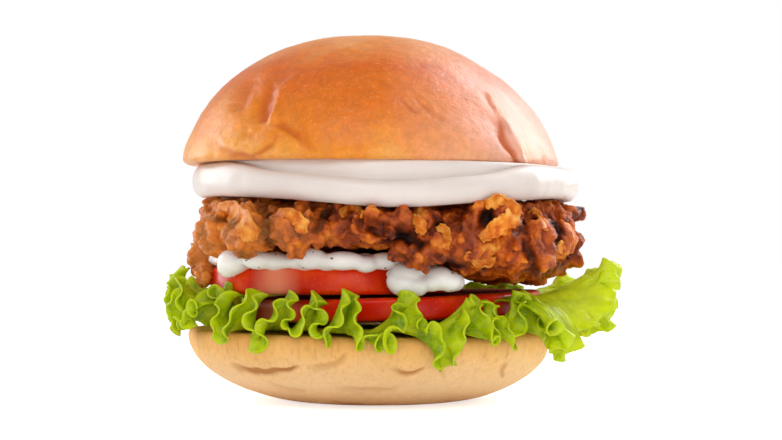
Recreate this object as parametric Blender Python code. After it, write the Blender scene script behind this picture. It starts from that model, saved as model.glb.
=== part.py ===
"""Chicken burger: a soft bun with fried chicken, mayonnaise, tomato, herb sauce and curly lettuce.

Units are metres and +Z is up. The origin is the middle of the heel's flat base, the front of the burger
faces -Y and its right side is +X. Angles round the burger are in degrees, from +X towards +Y. Each layer is
a solid of its own, and neighbours keep a small gap so that no two solids overlap.
"""

import math

import bmesh
import bpy
from mathutils import Vector, noise

MM = 0.001
GAP = 0.35 * MM

# The heel: a shallow bowl of bread on a small flat, with a cut face on top that leans to the right. The bowl
# is skewed, so that its flat lies a little to the right of its belly.
HEEL_CENTRE = (-1.0 * MM, 0.0)
HEEL_RADIUS = 49.8 * MM
HEEL_FLAT_RADIUS = 21.0 * MM
HEEL_BELLY_HEIGHT = 17.5 * MM
HEEL_HEIGHT = 19.4 * MM
HEEL_LEAN = -0.015
HEEL_SKEW = 0.12
HEEL_SWELL_POWER = 0.6

# The crown: a dome on a rounded rim.
CROWN_CENTRE = (-1.1 * MM, 0.0)
CROWN_RADIUS = 52.9 * MM
CROWN_CUT_HEIGHT = 64.7 * MM
CROWN_RIM_ROUND = 2.2 * MM
CROWN_DOME_HEIGHT = 34.6 * MM
CROWN_TOP_SHIFT = -1.1 * MM
CROWN_LEAN = -0.013
CROWN_SIDE_POWER = 2.45
CROWN_RISE_POWER = 1.4

# The mayonnaise: a thick layer under the crown whose lip sags most at the front.
MAYO_CENTRE = (2.5 * MM, -1.0 * MM)
MAYO_RADIUS = 54.0 * MM
MAYO_UNDERSIDE = 57.0 * MM
MAYO_LIP_TOP = 63.9 * MM
MAYO_LIP_BOTTOM = 56.0 * MM
MAYO_FRONT_SAG = 3.4 * MM
MAYO_RIGHT_SAG = 1.2 * MM

# The fried chicken: thin at the left over the tomato, thick at the right, with a flap of crust at the left.
CHICKEN_CENTRE = (2.5 * MM, -1.0 * MM)
CHICKEN_RADIUS = 54.0 * MM
CHICKEN_HIGH_BOTTOM = 42.2 * MM
CHICKEN_DROP = 8.6 * MM
CHICKEN_FLAP_DROP = 9.5 * MM
CHICKEN_TOP_GAP = 1.0 * MM

# The tomato slices: the lower one leans up to the right, the upper one lies flat on it.
TOMATO_LOWER_CENTRE = (5.4 * MM, -2.5 * MM)
TOMATO_LOWER_RADIUS = 40.0 * MM
TOMATO_LOWER_THICKNESS = 5.2 * MM
TOMATO_LOWER_BOTTOM = 23.7 * MM
TOMATO_LOWER_LEAN = 0.045
TOMATO_UPPER_CENTRE = (-11.5 * MM, -5.5 * MM)
TOMATO_UPPER_RADIUS = 34.5 * MM
TOMATO_UPPER_THICKNESS = 7.0 * MM
TOMATO_UPPER_BOTTOM = 30.1 * MM

# A slice's outline: how far it is inset from its radius in mm, and its share of the thickness.
SLICE_OUTLINE = ((20.0, 0.0), (2.4, 0.0), (1.2, 0.2), (0.0, 0.62), (0.7, 0.92), (1.5, 1.0), (18.0, 1.0))
SLICE_SEGMENTS = 40

# The herb sauce: a layer on the upper slice and a dollop in front of it. The outline gives shares of the
# reach and of the thickness.
SAUCE_OUTLINE = ((0.45, 0.0), (0.93, 0.0), (1.0, 0.3), (0.985, 0.66), (0.9, 0.95), (0.6, 1.0), (0.25, 0.95))
SAUCE_SEGMENTS = 36
SAUCE_RADIUS = 34.1 * MM
SAUCE_THICKNESS = 3.7 * MM
DOLLOP_CENTRE = (13.6 * MM, -40.0 * MM)
DOLLOP_HALF_WIDTH = 10.4 * MM
DOLLOP_HALF_DEPTH = 5.0 * MM
DOLLOP_HEIGHT = 8.4 * MM
DOLLOP_SEGMENTS = 28

# The lettuce: four leaves that lie on the heel, each with a ruffled margin outside it.
LEAF_HEIGHT = 20.9 * MM
LEAF_THICKNESS = 0.7 * MM
LEAF_INNER_RADIUS = 12.0 * MM
LEAF_FOLD_RADIUS = 45.5 * MM
LEAF_CLEARANCE = 1.5 * MM
LEAF_CURL_ANGLE = -66.0
LEAF_CURL_DROP = 5.5 * MM
COLUMNS_PER_RUFFLE = 8
RUFFLE_STEPS = 12

SEGMENTS = 56


# ---------------------------------------------------------------- shared helpers


def clear_scene():
    for old in list(bpy.data.objects):
        bpy.data.objects.remove(old, do_unlink=True)


def crumb_material(name, colour, roughness):
    """A plain Principled material in the layer's own colour."""
    made = bpy.data.materials.new(name)
    made.use_nodes = True
    shader = made.node_tree.nodes["Principled BSDF"]
    shader.inputs["Base Color"].default_value = (*colour, 1.0)
    shader.inputs["Roughness"].default_value = roughness
    shader.inputs["Metallic"].default_value = 0.0
    made.diffuse_color = (*colour, 1.0)
    return made


def smoothstep(low, high, value):
    share = min(1.0, max(0.0, (value - low) / (high - low)))
    return share * share * (3.0 - 2.0 * share)


def mix(first, second, share):
    return first + (second - first) * share


def turn_between(angle, centre):
    """The angle from centre to angle, in degrees from -180 to 180."""
    return (angle - centre + 180.0) % 360.0 - 180.0


def lobe(angle, centre, width):
    """A smooth hump round the burger: 1 at centre, falling to a third at width degrees away."""
    return math.exp(-((turn_between(angle, centre) / width) ** 2))


def wobble(angle, seed, size):
    """Slow unevenness round an outline, the same each time for the same seed."""
    turn = math.radians(angle)
    place = Vector((math.cos(turn), math.sin(turn), seed))
    return size * noise.noise(place * 1.3)


def lump(point, seed, grain, size):
    """Unevenness of a surface, in lumps about one grain across."""
    return size * noise.noise(Vector(point) / grain + Vector((seed, seed * 0.7, -seed)))


def around(centre, radius, angle, height):
    """The point at a radius and an angle in degrees round centre, at a height."""
    turn = math.radians(angle)
    return Vector((centre[0] + radius * math.cos(turn), centre[1] + radius * math.sin(turn), height))


def angles_round(count):
    return [360.0 * step / count for step in range(count)]


def add_object(name, mesh, material):
    made = bpy.data.objects.new(name, mesh)
    bpy.context.scene.collection.objects.link(made)
    mesh.materials.append(material)
    mesh.shade_smooth()
    mesh.set_sharp_from_angle(angle=math.radians(50.0))
    return made


def add_loft(name, rings, material):
    """A closed solid through rings of equal length, lowest first, with each end closed to a point."""
    shape = bmesh.new()
    rows = [[shape.verts.new(point) for point in ring] for ring in rings]
    count = len(rows[0])
    for lower, upper in zip(rows, rows[1:]):
        for step in range(count):
            after = (step + 1) % count
            shape.faces.new((lower[step], lower[after], upper[after], upper[step]))
    for row in (rows[0], rows[-1]):
        middle = sum((vertex.co for vertex in row), Vector()) / count
        pole = shape.verts.new(middle)
        for step in range(count):
            shape.faces.new((pole, row[step], row[(step + 1) % count]))
    bmesh.ops.recalc_face_normals(shape, faces=shape.faces)
    mesh = bpy.data.meshes.new(name)
    shape.to_mesh(mesh)
    shape.free()
    return add_object(name, mesh, material)


def add_sheet(name, rows, thickness, material):
    """A thin closed solid over a grid of points, by a Solidify modifier centred on the grid."""
    shape = bmesh.new()
    grid = [[shape.verts.new(point) for point in row] for row in rows]
    for inner, outer in zip(grid, grid[1:]):
        for step in range(len(inner) - 1):
            shape.faces.new((inner[step], outer[step], outer[step + 1], inner[step + 1]))
    bmesh.ops.recalc_face_normals(shape, faces=shape.faces)
    mesh = bpy.data.meshes.new(name)
    shape.to_mesh(mesh)
    shape.free()
    made = add_object(name, mesh, material)
    wall = made.modifiers.new("leaf thickness", "SOLIDIFY")
    wall.thickness = thickness
    wall.offset = 0.0
    return made


# ---------------------------------------------------------------- bread


def heel_radius(angle):
    return HEEL_RADIUS + wobble(angle, 2.0, 1.2 * MM) + 0.6 * MM * lobe(angle, 180.0, 40.0)


def heel_profile_radius(angle, height):
    """The heel's radius at a height: it swells from its flat to its belly in a bowl's curve."""
    share = min(1.0, max(0.0, height / HEEL_BELLY_HEIGHT))
    swell = (1.0 - (1.0 - share) ** 2) ** HEEL_SWELL_POWER
    return mix(HEEL_FLAT_RADIUS, heel_radius(angle), swell)


def heel_top(point):
    return HEEL_HEIGHT + HEEL_LEAN * (point[0] - HEEL_CENTRE[0])


def build_heel(material):
    """The bottom half of the bun, with a faint crease round its belly."""
    heights = [0.0, 0.5, 1.8, 4.2, 7.6, 11.6, 14.8, HEEL_BELLY_HEIGHT / MM]
    flat_centre = (HEEL_CENTRE[0] + HEEL_SKEW * HEEL_BELLY_HEIGHT, HEEL_CENTRE[1])
    rings = [[around(flat_centre, 0.5 * HEEL_FLAT_RADIUS, angle, 0.0) for angle in angles_round(SEGMENTS)]]
    for height in heights:
        skewed_centre = (HEEL_CENTRE[0] + HEEL_SKEW * (HEEL_BELLY_HEIGHT - height * MM), HEEL_CENTRE[1])
        ring = []
        for angle in angles_round(SEGMENTS):
            crease = 0.5 * MM * math.exp(-(((height - 9.5) / 1.6) ** 2)) * lobe(angle, -110.0, 30.0)
            radius = heel_profile_radius(angle, height * MM) - crease
            ring.append(around(skewed_centre, radius, angle, height * MM))
        rings.append(ring)
    for inset, share in ((0.5, 0.75), (2.0, 1.0), (20.0, 1.0)):
        ring = []
        for angle in angles_round(SEGMENTS):
            point = around(HEEL_CENTRE, heel_radius(angle) - inset * MM, angle, 0.0)
            point.z = mix(HEEL_BELLY_HEIGHT, heel_top(point), share)
            ring.append(point)
        rings.append(ring)
    return add_loft("bun_heel", rings, material)


def crown_radius(angle):
    return CROWN_RADIUS + wobble(angle, 5.0, 1.4 * MM)


def crown_dent(angle, share):
    """How far the crust is pressed in: a fold and a crease at the front left, a split at the front right."""
    fold = 2.4 * MM * lobe(angle, -128.0, 5.0) * math.exp(-(((share - 0.62) / 0.17) ** 2))
    crease = 1.3 * MM * lobe(angle, -132.0, 13.0) * math.exp(-(((share - 0.17) / 0.07) ** 2))
    split = 2.4 * MM * lobe(angle, -42.0 - 22.0 * share, 4.5) * (1.0 - smoothstep(0.35, 0.6, share))
    return fold + crease + split


def build_crown(material):
    """The top half of the bun: a flat cut face, a rounded rim, and a dome that leans a little left."""
    base = CROWN_CUT_HEIGHT + CROWN_RIM_ROUND
    rings = []
    for inset in (30.0, 9.0, CROWN_RIM_ROUND / MM):
        rings.append(
            [around(CROWN_CENTRE, crown_radius(angle) - inset * MM, angle, CROWN_CUT_HEIGHT)
             for angle in angles_round(SEGMENTS)]
        )
    steps = 12
    for step in range(steps):
        climb = math.radians(84.0) * step / (steps - 1)
        side = math.cos(climb) ** (2.0 / CROWN_SIDE_POWER)
        rise = math.sin(climb) ** (2.0 / CROWN_RISE_POWER)
        ring = []
        for angle in angles_round(SEGMENTS):
            radius = side * crown_radius(angle) - crown_dent(angle, rise)
            point = around(CROWN_CENTRE, radius, angle, base + CROWN_DOME_HEIGHT * rise)
            point.x += CROWN_TOP_SHIFT * rise
            ring.append(point)
        rings.append(ring)
    for ring in rings:
        for point in ring:
            point.z += CROWN_LEAN * point.x
    return add_loft("bun_crown", rings, material)


# ---------------------------------------------------------------- mayonnaise


def mayo_radius(angle):
    return MAYO_RADIUS + wobble(angle, 9.0, 1.6 * MM)


def mayo_sag(angle):
    return MAYO_FRONT_SAG * lobe(angle, -88.0, 42.0) + MAYO_RIGHT_SAG * lobe(angle, 0.0, 25.0)


def mayo_underside(point):
    """The height of the layer's underside over a point: level inside, lower towards the lip."""
    offset = Vector((point[0] - MAYO_CENTRE[0], point[1] - MAYO_CENTRE[1]))
    angle = math.degrees(math.atan2(offset.y, offset.x))
    share = smoothstep(0.62, 0.92, offset.length / mayo_radius(angle))
    return mix(MAYO_UNDERSIDE, MAYO_LIP_BOTTOM - mayo_sag(angle), share)


def build_mayonnaise(material):
    """A thick layer: its underside, its round lip, and a slope up to where it meets the crown's cut face."""
    rings = []
    for share in (0.3, 0.6, 0.72, 0.84, 0.93):
        ring = []
        for angle in angles_round(SEGMENTS):
            point = around(MAYO_CENTRE, share * mayo_radius(angle), angle, 0.0)
            point.z = mayo_underside(point)
            ring.append(point)
        rings.append(ring)
    for climb in (-30.0, 10.0, 55.0):
        ring = []
        for angle in angles_round(SEGMENTS):
            low = MAYO_LIP_BOTTOM - mayo_sag(angle)
            high = MAYO_LIP_TOP - mayo_sag(angle) * 0.95
            turn = math.radians(climb)
            radius = mayo_radius(angle) - 3.6 * MM * (1.0 - math.cos(turn))
            ring.append(around(MAYO_CENTRE, radius, angle, mix(low, high, 0.5 + 0.5 * math.sin(turn))))
        rings.append(ring)
    for share, climb in ((0.87, 0.45), (0.8, 1.0), (0.4, 1.0)):
        ring = []
        for angle in angles_round(SEGMENTS):
            point = around(MAYO_CENTRE, share * mayo_radius(angle), angle, 0.0)
            ceiling = CROWN_CUT_HEIGHT + CROWN_LEAN * point.x - GAP
            point.z = mix(MAYO_LIP_TOP - mayo_sag(angle) * 0.95, ceiling, climb)
            ring.append(point)
        rings.append(ring)
    return add_loft("mayonnaise_layer", rings, material)


# ---------------------------------------------------------------- tomato and sauce


def tomato_lower_bottom(x):
    return TOMATO_LOWER_BOTTOM + TOMATO_LOWER_LEAN * x


def build_tomato(name, centre, radius, thickness, bottom, lean, material):
    """A round slice with its skin round the edge: the skin bulges a little and draws in at the foot."""
    rings = []
    for inset, climb in SLICE_OUTLINE:
        ring = []
        for angle in angles_round(SLICE_SEGMENTS):
            uneven = 0.35 * MM * math.cos(math.radians(5.0 * angle + 20.0))
            point = around(centre, radius - inset * MM + uneven, angle, 0.0)
            point.z = bottom + lean * point.x + climb * thickness
            ring.append(point)
        rings.append(ring)
    return add_loft(name, rings, material)


def build_herb_sauce_layer(material):
    """Sauce spread on the upper slice, lumpy on top, out to the slice's edge at the front left."""
    floor = TOMATO_UPPER_BOTTOM + TOMATO_UPPER_THICKNESS + GAP
    rings = []
    for share, climb in SAUCE_OUTLINE:
        ring = []
        for angle in angles_round(SAUCE_SEGMENTS):
            reach = SAUCE_RADIUS * (0.9 + 0.1 * lobe(angle, -125.0, 70.0))
            reach += wobble(angle * 3.0, 4.0, 0.8 * MM)
            point = around(TOMATO_UPPER_CENTRE, share * reach, angle, 0.0)
            thick = SAUCE_THICKNESS - 0.6 * MM + lump(point, 3.0, 9.0 * MM, 0.9 * MM)
            point.z = floor + climb * thick
            ring.append(point)
        rings.append(ring)
    return add_loft("herb_sauce_layer", rings, material)


def build_herb_sauce_dollop(material):
    """A dollop of two lobes on the front edge of the lower slice, the left one higher."""
    rings = []
    for share, climb in ((0.4, 0.0), (0.86, 0.0), (1.0, 0.28), (0.97, 0.6), (0.72, 0.88), (0.3, 1.0)):
        ring = []
        for angle in angles_round(DOLLOP_SEGMENTS):
            turn = math.radians(angle)
            x = DOLLOP_CENTRE[0] + share * DOLLOP_HALF_WIDTH * math.cos(turn)
            waist = 1.0 - 0.22 * math.exp(-(((x - 14.6 * MM) / (1.8 * MM)) ** 2))
            y = DOLLOP_CENTRE[1] + share * DOLLOP_HALF_DEPTH * waist * math.sin(turn)
            tall = DOLLOP_HEIGHT * mix(1.0, 0.68, smoothstep(9.0 * MM, 22.0 * MM, x)) * (0.9 + 0.1 * waist)
            floor = tomato_lower_bottom(x) + TOMATO_LOWER_THICKNESS + GAP
            ring.append(Vector((x, y, floor + climb * tall)))
        rings.append(ring)
    return add_loft("herb_sauce_dollop", rings, material)


# ---------------------------------------------------------------- chicken


def chicken_radius(angle):
    knob = 1.6 * MM * lobe(angle, -8.0, 9.0)
    return CHICKEN_RADIUS + knob + wobble(angle * 2.0, 7.0, 2.4 * MM)


def chicken_bottom(point):
    """The height of the crust's underside: high over the upper slice, low beside and behind it."""
    x, y = point[0], point[1]
    beside = math.hypot(x - TOMATO_UPPER_CENTRE[0], y - TOMATO_UPPER_CENTRE[1]) - TOMATO_UPPER_RADIUS
    past_sauce = max(smoothstep(8.0 * MM, 30.0 * MM, x), smoothstep(0.0, 28.0 * MM, y))
    share = min(smoothstep(1.0 * MM, 9.0 * MM, beside), past_sauce)
    return CHICKEN_HIGH_BOTTOM - CHICKEN_DROP * share


def build_chicken(material):
    """A fried fillet in thick craggy batter, with a flap of crust that hangs past the tomato at the left."""
    rings = []
    for share, flap in ((0.35, 0.0), (0.66, 0.0), (0.8, 0.0), (0.89, 0.0), (0.915, 0.85), (0.955, 1.0)):
        ring = []
        for angle in angles_round(SEGMENTS):
            point = around(CHICKEN_CENTRE, share * chicken_radius(angle), angle, 0.0)
            hang = CHICKEN_FLAP_DROP * flap * lobe(angle, 182.0, 14.0)
            rise = 3.0 * MM * smoothstep(0.85, 0.97, share) * (1.0 - lobe(angle, 182.0, 14.0))
            point.z = chicken_bottom(point) + rise - hang + abs(lump(point, 1.0, 7.0 * MM, 1.2 * MM))
            ring.append(point)
        rings.append(ring)
    for share, climb in ((0.995, 0.3), (1.0, 0.55), (0.985, 0.8), (0.93, 1.0)):
        ring = []
        for angle in angles_round(SEGMENTS):
            point = around(CHICKEN_CENTRE, share * chicken_radius(angle), angle, 0.0)
            low, high = chicken_bottom(point), mayo_underside(point) - CHICKEN_TOP_GAP
            point.z = mix(low, high, climb)
            outward = (point - around(CHICKEN_CENTRE, 0.0, 0.0, point.z)).normalized()
            bulge = 1.4 * MM - abs(lump(point, 11.0, 9.0 * MM, 6.5 * MM))
            point += outward * bulge * (1.0 if climb < 1.0 else 0.3)
            ring.append(point)
        rings.append(ring)
    for share in (0.8, 0.55, 0.3):
        ring = []
        for angle in angles_round(SEGMENTS):
            point = around(CHICKEN_CENTRE, share * chicken_radius(angle), angle, 0.0)
            point.z = mayo_underside(point) - CHICKEN_TOP_GAP - abs(lump(point, 6.0, 9.0 * MM, 1.6 * MM))
            ring.append(point)
        rings.append(ring)
    return add_loft("chicken_fillet", rings, material)


# ---------------------------------------------------------------- lettuce


def ruffle_row(swing, length, waves, steps):
    """A meandering line whose heading swings to both sides of straight ahead, some ruffles wider than others.

    Returns (advance, rise) at each step. The line is stretched so that it still advances by length, however
    far its heading swings, so a wider swing gives more leaf in the same space, as at a curly margin.
    """
    fine = steps * RUFFLE_STEPS
    advance, rise = [0.0], [0.0]
    for step in range(fine):
        ruffle = waves * (step + 0.5) / fine
        wider = 1.0 + 0.3 * noise.noise(Vector((ruffle * 0.9, waves, 0.5)))
        heading = swing * wider * math.sin(2.0 * math.pi * ruffle)
        advance.append(advance[-1] + math.cos(heading))
        rise.append(rise[-1] + math.sin(heading))
    stretch = length / advance[-1]
    middle = sum(rise) / len(rise)
    return [
        (advance[step * RUFFLE_STEPS] * stretch, (rise[step * RUFFLE_STEPS] - middle) * stretch)
        for step in range(steps + 1)
    ]


def build_leaf(name, start, end, waves, reach, swing, tip_height, material):
    """One leaf over a stretch of the heel: flat under the filling, and ruffled where it leaves the bun.

    reach is how far the margin stands from the middle, and tip_height how high the middle of its ruffles is.
    The front leaf's margin hangs lowest at LEAF_CURL_ANGLE.
    """
    steps = waves * COLUMNS_PER_RUFFLE
    shares = (0.0, 0.4, 0.7, 1.0)
    rows = [[around((0.0, 0.0), LEAF_INNER_RADIUS, mix(start, end, step / steps), LEAF_HEIGHT)
             for step in range(steps + 1)]]
    for share in shares:
        radius = mix(LEAF_FOLD_RADIUS, reach, share)
        length = math.radians(end - start) * radius
        row = []
        for advance, rise in ruffle_row(swing * share, length, waves, steps):
            angle = mix(start, end, advance / length)
            hang = LEAF_CURL_DROP * share * lobe(angle, LEAF_CURL_ANGLE, 6.0)
            height = mix(LEAF_HEIGHT, tip_height, share**1.5) + rise - hang
            uneven = wobble(angle * 4.0, reach * 900.0, 2.2 * MM) * share
            row.append(clear_of_heel(radius + uneven, angle, height))
        rows.append(row)
    return add_sheet(name, rows, LEAF_THICKNESS, material)


def clear_of_heel(radius, angle, height):
    """Moves a leaf's point up off the heel's cut face, or out past its side, so that it drapes over it."""
    point = around((0.0, 0.0), radius, angle, height)
    rim = heel_radius(angle) + LEAF_CLEARANCE
    if radius < rim:
        point.z = max(height, LEAF_HEIGHT)
    elif height < HEEL_HEIGHT:
        point = around((0.0, 0.0), max(radius, rim), angle, height)
    return point


# ---------------------------------------------------------------- the burger


def build_burger():
    crust = crumb_material("glazed crust", (0.76, 0.30, 0.08), 0.35)
    pale_crust = crumb_material("pale crust", (0.80, 0.50, 0.24), 0.6)
    mayonnaise = crumb_material("mayonnaise", (0.87, 0.82, 0.76), 0.3)
    batter = crumb_material("fried batter", (0.45, 0.16, 0.04), 0.55)
    tomato = crumb_material("tomato", (0.56, 0.05, 0.02), 0.25)
    sauce = crumb_material("herb sauce", (0.78, 0.74, 0.66), 0.3)
    lettuce = crumb_material("curly lettuce", (0.32, 0.42, 0.02), 0.4)

    build_heel(pale_crust)
    build_leaf("lettuce_leaf_left", 152.0, 206.0, 3, 59.0 * MM, 1.5, 27.5 * MM, lettuce)
    build_leaf("lettuce_leaf_front", -152.0, -33.0, 8, 55.5 * MM, 1.72, 25.5 * MM, lettuce)
    build_leaf("lettuce_leaf_right", -31.0, 34.0, 3, 67.5 * MM, 1.62, 25.5 * MM, lettuce)
    build_leaf("lettuce_leaf_back", 36.0, 150.0, 7, 57.0 * MM, 1.65, 26.0 * MM, lettuce)
    build_tomato("tomato_slice_lower", TOMATO_LOWER_CENTRE, TOMATO_LOWER_RADIUS, TOMATO_LOWER_THICKNESS,
                 TOMATO_LOWER_BOTTOM, TOMATO_LOWER_LEAN, tomato)
    build_tomato("tomato_slice_upper", TOMATO_UPPER_CENTRE, TOMATO_UPPER_RADIUS, TOMATO_UPPER_THICKNESS,
                 TOMATO_UPPER_BOTTOM, 0.0, tomato)
    build_herb_sauce_layer(sauce)
    build_herb_sauce_dollop(sauce)
    build_chicken(batter)
    build_mayonnaise(mayonnaise)
    build_crown(crust)


clear_scene()
build_burger()
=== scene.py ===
# %% [markdown]
# # A chicken burger, finished in Blender
#
# The burger's solids are already at their real size: a crown, mayonnaise, a fried fillet, herb sauce, two
# slices of tomato, four leaves of lettuce and a heel. This lesson gives each of them the surface of the
# real food. Bread, batter and leaves have no straight edge anywhere, so almost every piece is modelled
# afresh as a fine mesh inside the space that its plain solid holds, and each one gets a procedural
# material.
#
# The first lines load those solids, and the object's box is kept so that it can be compared at the end. The
# noise that roughens the pieces starts from a fixed seed, so that every run makes the same burger.

# %% The frame and the first helper values
import math
import random

import bpy
import bmesh
import numpy as np
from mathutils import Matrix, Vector, noise
from mathutils.bvhtree import BVHTree


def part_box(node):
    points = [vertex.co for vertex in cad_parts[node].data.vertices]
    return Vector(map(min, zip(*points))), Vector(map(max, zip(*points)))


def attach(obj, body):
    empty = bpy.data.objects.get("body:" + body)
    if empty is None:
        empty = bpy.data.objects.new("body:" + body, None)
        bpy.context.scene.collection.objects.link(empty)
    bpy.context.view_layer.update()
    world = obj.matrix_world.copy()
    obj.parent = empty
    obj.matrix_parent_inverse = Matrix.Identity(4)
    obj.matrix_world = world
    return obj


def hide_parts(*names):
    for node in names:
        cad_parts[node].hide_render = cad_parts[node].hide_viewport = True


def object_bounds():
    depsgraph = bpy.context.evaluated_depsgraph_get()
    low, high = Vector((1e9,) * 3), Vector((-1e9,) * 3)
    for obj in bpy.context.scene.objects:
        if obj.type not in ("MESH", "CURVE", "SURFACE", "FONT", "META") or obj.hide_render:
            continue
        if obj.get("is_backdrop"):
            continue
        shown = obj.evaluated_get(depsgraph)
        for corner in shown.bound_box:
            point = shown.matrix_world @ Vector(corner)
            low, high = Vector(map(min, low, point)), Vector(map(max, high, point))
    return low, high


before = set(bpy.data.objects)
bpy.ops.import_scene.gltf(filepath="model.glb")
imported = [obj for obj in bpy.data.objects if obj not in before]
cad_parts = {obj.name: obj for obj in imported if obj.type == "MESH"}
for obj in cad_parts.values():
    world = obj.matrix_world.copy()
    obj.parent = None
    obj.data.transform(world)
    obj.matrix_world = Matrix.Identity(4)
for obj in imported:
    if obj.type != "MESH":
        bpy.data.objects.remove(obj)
cad_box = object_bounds()
MM = 0.001
NOISE_SEED = 6
noise.seed_set(NOISE_SEED)
scene = bpy.context.scene


def new_object(name, data):
    """A new object in the scene that shows a mesh, a light or a camera."""
    made = bpy.data.objects.new(name, data)
    scene.collection.objects.link(made)
    return made


print("nodes:", sorted(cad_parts))
print("box in mm:", [[round(value / MM, 1) for value in corner] for corner in cad_box])

# %% [markdown]
# ## The camera
#
# The burger is seen level from the front, from a little above the middle of its filling. A long lens
# flattens the round layers into bands, as in a product picture, and the camera looks up by less than a
# degree.

# %% The camera
CAMERA_PLACE = Vector((4.5, -520.0, 43.0)) * MM
CAMERA_TARGET = Vector((4.5, 0.0, 50.0)) * MM
camera_data = bpy.data.cameras.new("product camera")
camera_data.lens = 85.5
camera_data.sensor_width = 36.0
camera_data.clip_start = 0.01
camera = new_object("product camera", camera_data)
camera.location = CAMERA_PLACE
camera.rotation_euler = (CAMERA_TARGET - CAMERA_PLACE).to_track_quat("-Z", "Y").to_euler()
scene.camera = camera
print("camera distance in mm:", round((CAMERA_TARGET - CAMERA_PLACE).length / MM))

# %% [markdown]
# ## Light and floor
#
# Food like this is lit by large soft boxes on a white sweep. Two boxes at the front, one high and one low,
# fill every layer, and two tall boxes stand behind the burger, right and left, so that their light skims
# the crown and leaves a pale sheen down both of its sides. The world itself is white, so that the shadows
# between the layers stay open. The floor is a pale sheet, and its own faint glow stands for the light that
# a white sweep throws back.

# %% Soft boxes, world and floor


def soft_box(name, place, target, width, height, watts):
    """A rectangular area light at a place in mm that faces a target in mm."""
    data = bpy.data.lights.new(name, "AREA")
    data.shape = "RECTANGLE"
    data.size = width * MM
    data.size_y = height * MM
    data.energy = watts
    made = new_object(name, data)
    made.location = Vector(place) * MM
    aim = Vector(target) - Vector(place)
    made.rotation_euler = aim.to_track_quat("-Z", "Y").to_euler()


MIDDLE = (0.0, 0.0, 50.0)
soft_box("fill box high", (-60.0, -430.0, 420.0), MIDDLE, 420.0, 260.0, 1.2)
soft_box("fill box low", (90.0, -560.0, 50.0), MIDDLE, 300.0, 120.0, 0.42)
soft_box("sheen box right", (400.0, 260.0, 330.0), MIDDLE, 300.0, 460.0, 3.2)
soft_box("sheen box left", (-460.0, 230.0, 170.0), MIDDLE, 240.0, 420.0, 1.7)

world = bpy.data.worlds.new("white studio")
world.use_nodes = True
scene.world = world
scene.view_settings.view_transform = "Standard"
scene.cycles.use_denoising = True
print("lights:", [light.name for light in bpy.data.lights])

# %% [markdown]
# ## The functions that every material uses
#
# Colours are written as they look on a screen, as hex values. Blender's shaders work with linear light, so
# one function turns a hex value into a linear colour. A second function adds a node to a tree, with its
# settings and its inputs. Inputs come as a dictionary by name or number, or as a tuple in the order of the
# sockets, and each is a value, a hex colour, another node's output, or another node, whose first open
# output is meant. A Map Range node's tuple is its value, the two ends it comes from and the two ends it
# goes to.

# %% Colour and node helpers


def colour(hex_value):
    """The linear colour, with an alpha of one, of an sRGB hex value such as #E0A060."""
    parts = [int(hex_value[start:start + 2], 16) / 255.0 for start in (1, 3, 5)]
    linear = [part / 12.92 if part <= 0.04045 else ((part + 0.055) / 1.055) ** 2.4 for part in parts]
    return (*linear, 1.0)


def fill(node, inputs):
    """Sets or links a node's inputs, from a dictionary or in the order of its sockets."""
    for name, value in inputs.items() if isinstance(inputs, dict) else enumerate(inputs):
        if isinstance(value, bpy.types.Node):
            value = next(output for output in value.outputs if output.enabled)
        if isinstance(value, bpy.types.NodeSocket):
            node.id_data.links.new(value, node.inputs[name])
        else:
            shade = isinstance(value, str) and value.startswith("#")
            node.inputs[name].default_value = colour(value) if shade else value


def add(tree, kind, inputs=(), stops=(), **settings):
    """One node in a tree. A colour ramp's stops are (position, hex colour) pairs."""
    made = tree.nodes.new(kind)
    for name, value in settings.items():
        setattr(made, name, value)
    fill(made, inputs)
    for step, (position, shade) in enumerate(stops):
        ramp = made.color_ramp.elements
        element = ramp[step] if step < len(ramp) else ramp.new(position)
        element.position = position
        element.color = colour(shade)
    return made


def new_material(name):
    """A material with a Principled shader, its tree, and its Object coordinates counted in millimetres."""
    made = bpy.data.materials.new(name)
    made.use_nodes = True
    tree = made.node_tree
    place = add(tree, "ShaderNodeTexCoord")
    in_mm = add(tree, "ShaderNodeVectorMath", {0: place.outputs["Object"], "Scale": 1.0 / MM},
            operation="SCALE")
    return made, tree, tree.nodes["Principled BSDF"], in_mm


def seen_or_light(tree, seen, light):
    """One number for what the camera sees, and another for the light that everything else gets."""
    path = add(tree, "ShaderNodeLightPath")
    return add(tree, "ShaderNodeMix", {0: path.outputs["Is Camera Ray"], 2: light, 3: seen})


SWEEP_SEEN, SWEEP_LIGHT = 1.0, 0.42
sweep = seen_or_light(world.node_tree, SWEEP_SEEN, SWEEP_LIGHT)
fill(world.node_tree.nodes["Background"], {"Color": "#FFFFFF", "Strength": sweep})
print("crust in linear light:", [round(part, 3) for part in colour("#E08A3C")])

# %% The floor
FLOOR_HALF = 3.0
GLOW_SEEN, GLOW_LIGHT = 0.65, 0.1
floor_mesh = bpy.data.meshes.new("pale floor")
corners = [(x * FLOOR_HALF, y * FLOOR_HALF, 0.0) for x, y in ((-1, -1), (1, -1), (1, 1), (-1, 1))]
floor_mesh.from_pydata(corners, [], [(0, 1, 2, 3)])
floor = new_object("pale_floor", floor_mesh)
paper, paper_tree, paper_shader, paper_mm = new_material("matt white paper")
grain = add(paper_tree, "ShaderNodeTexNoise", {"Vector": paper_mm, "Scale": 0.5, "Detail": 3.0})
relief = add(paper_tree, "ShaderNodeBump", {"Height": grain, "Strength": 0.05, "Distance": 0.02 * MM})
fill(paper_shader, {"Normal": relief, "Base Color": "#FAFAFA", "Roughness": 0.9, "Emission Color": "#FFFFFF",
        "Emission Strength": seen_or_light(paper_tree, GLOW_SEEN, GLOW_LIGHT)})
floor_mesh.materials.append(paper)
floor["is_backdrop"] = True
print("floor side in m:", 2.0 * FLOOR_HALF)

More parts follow.
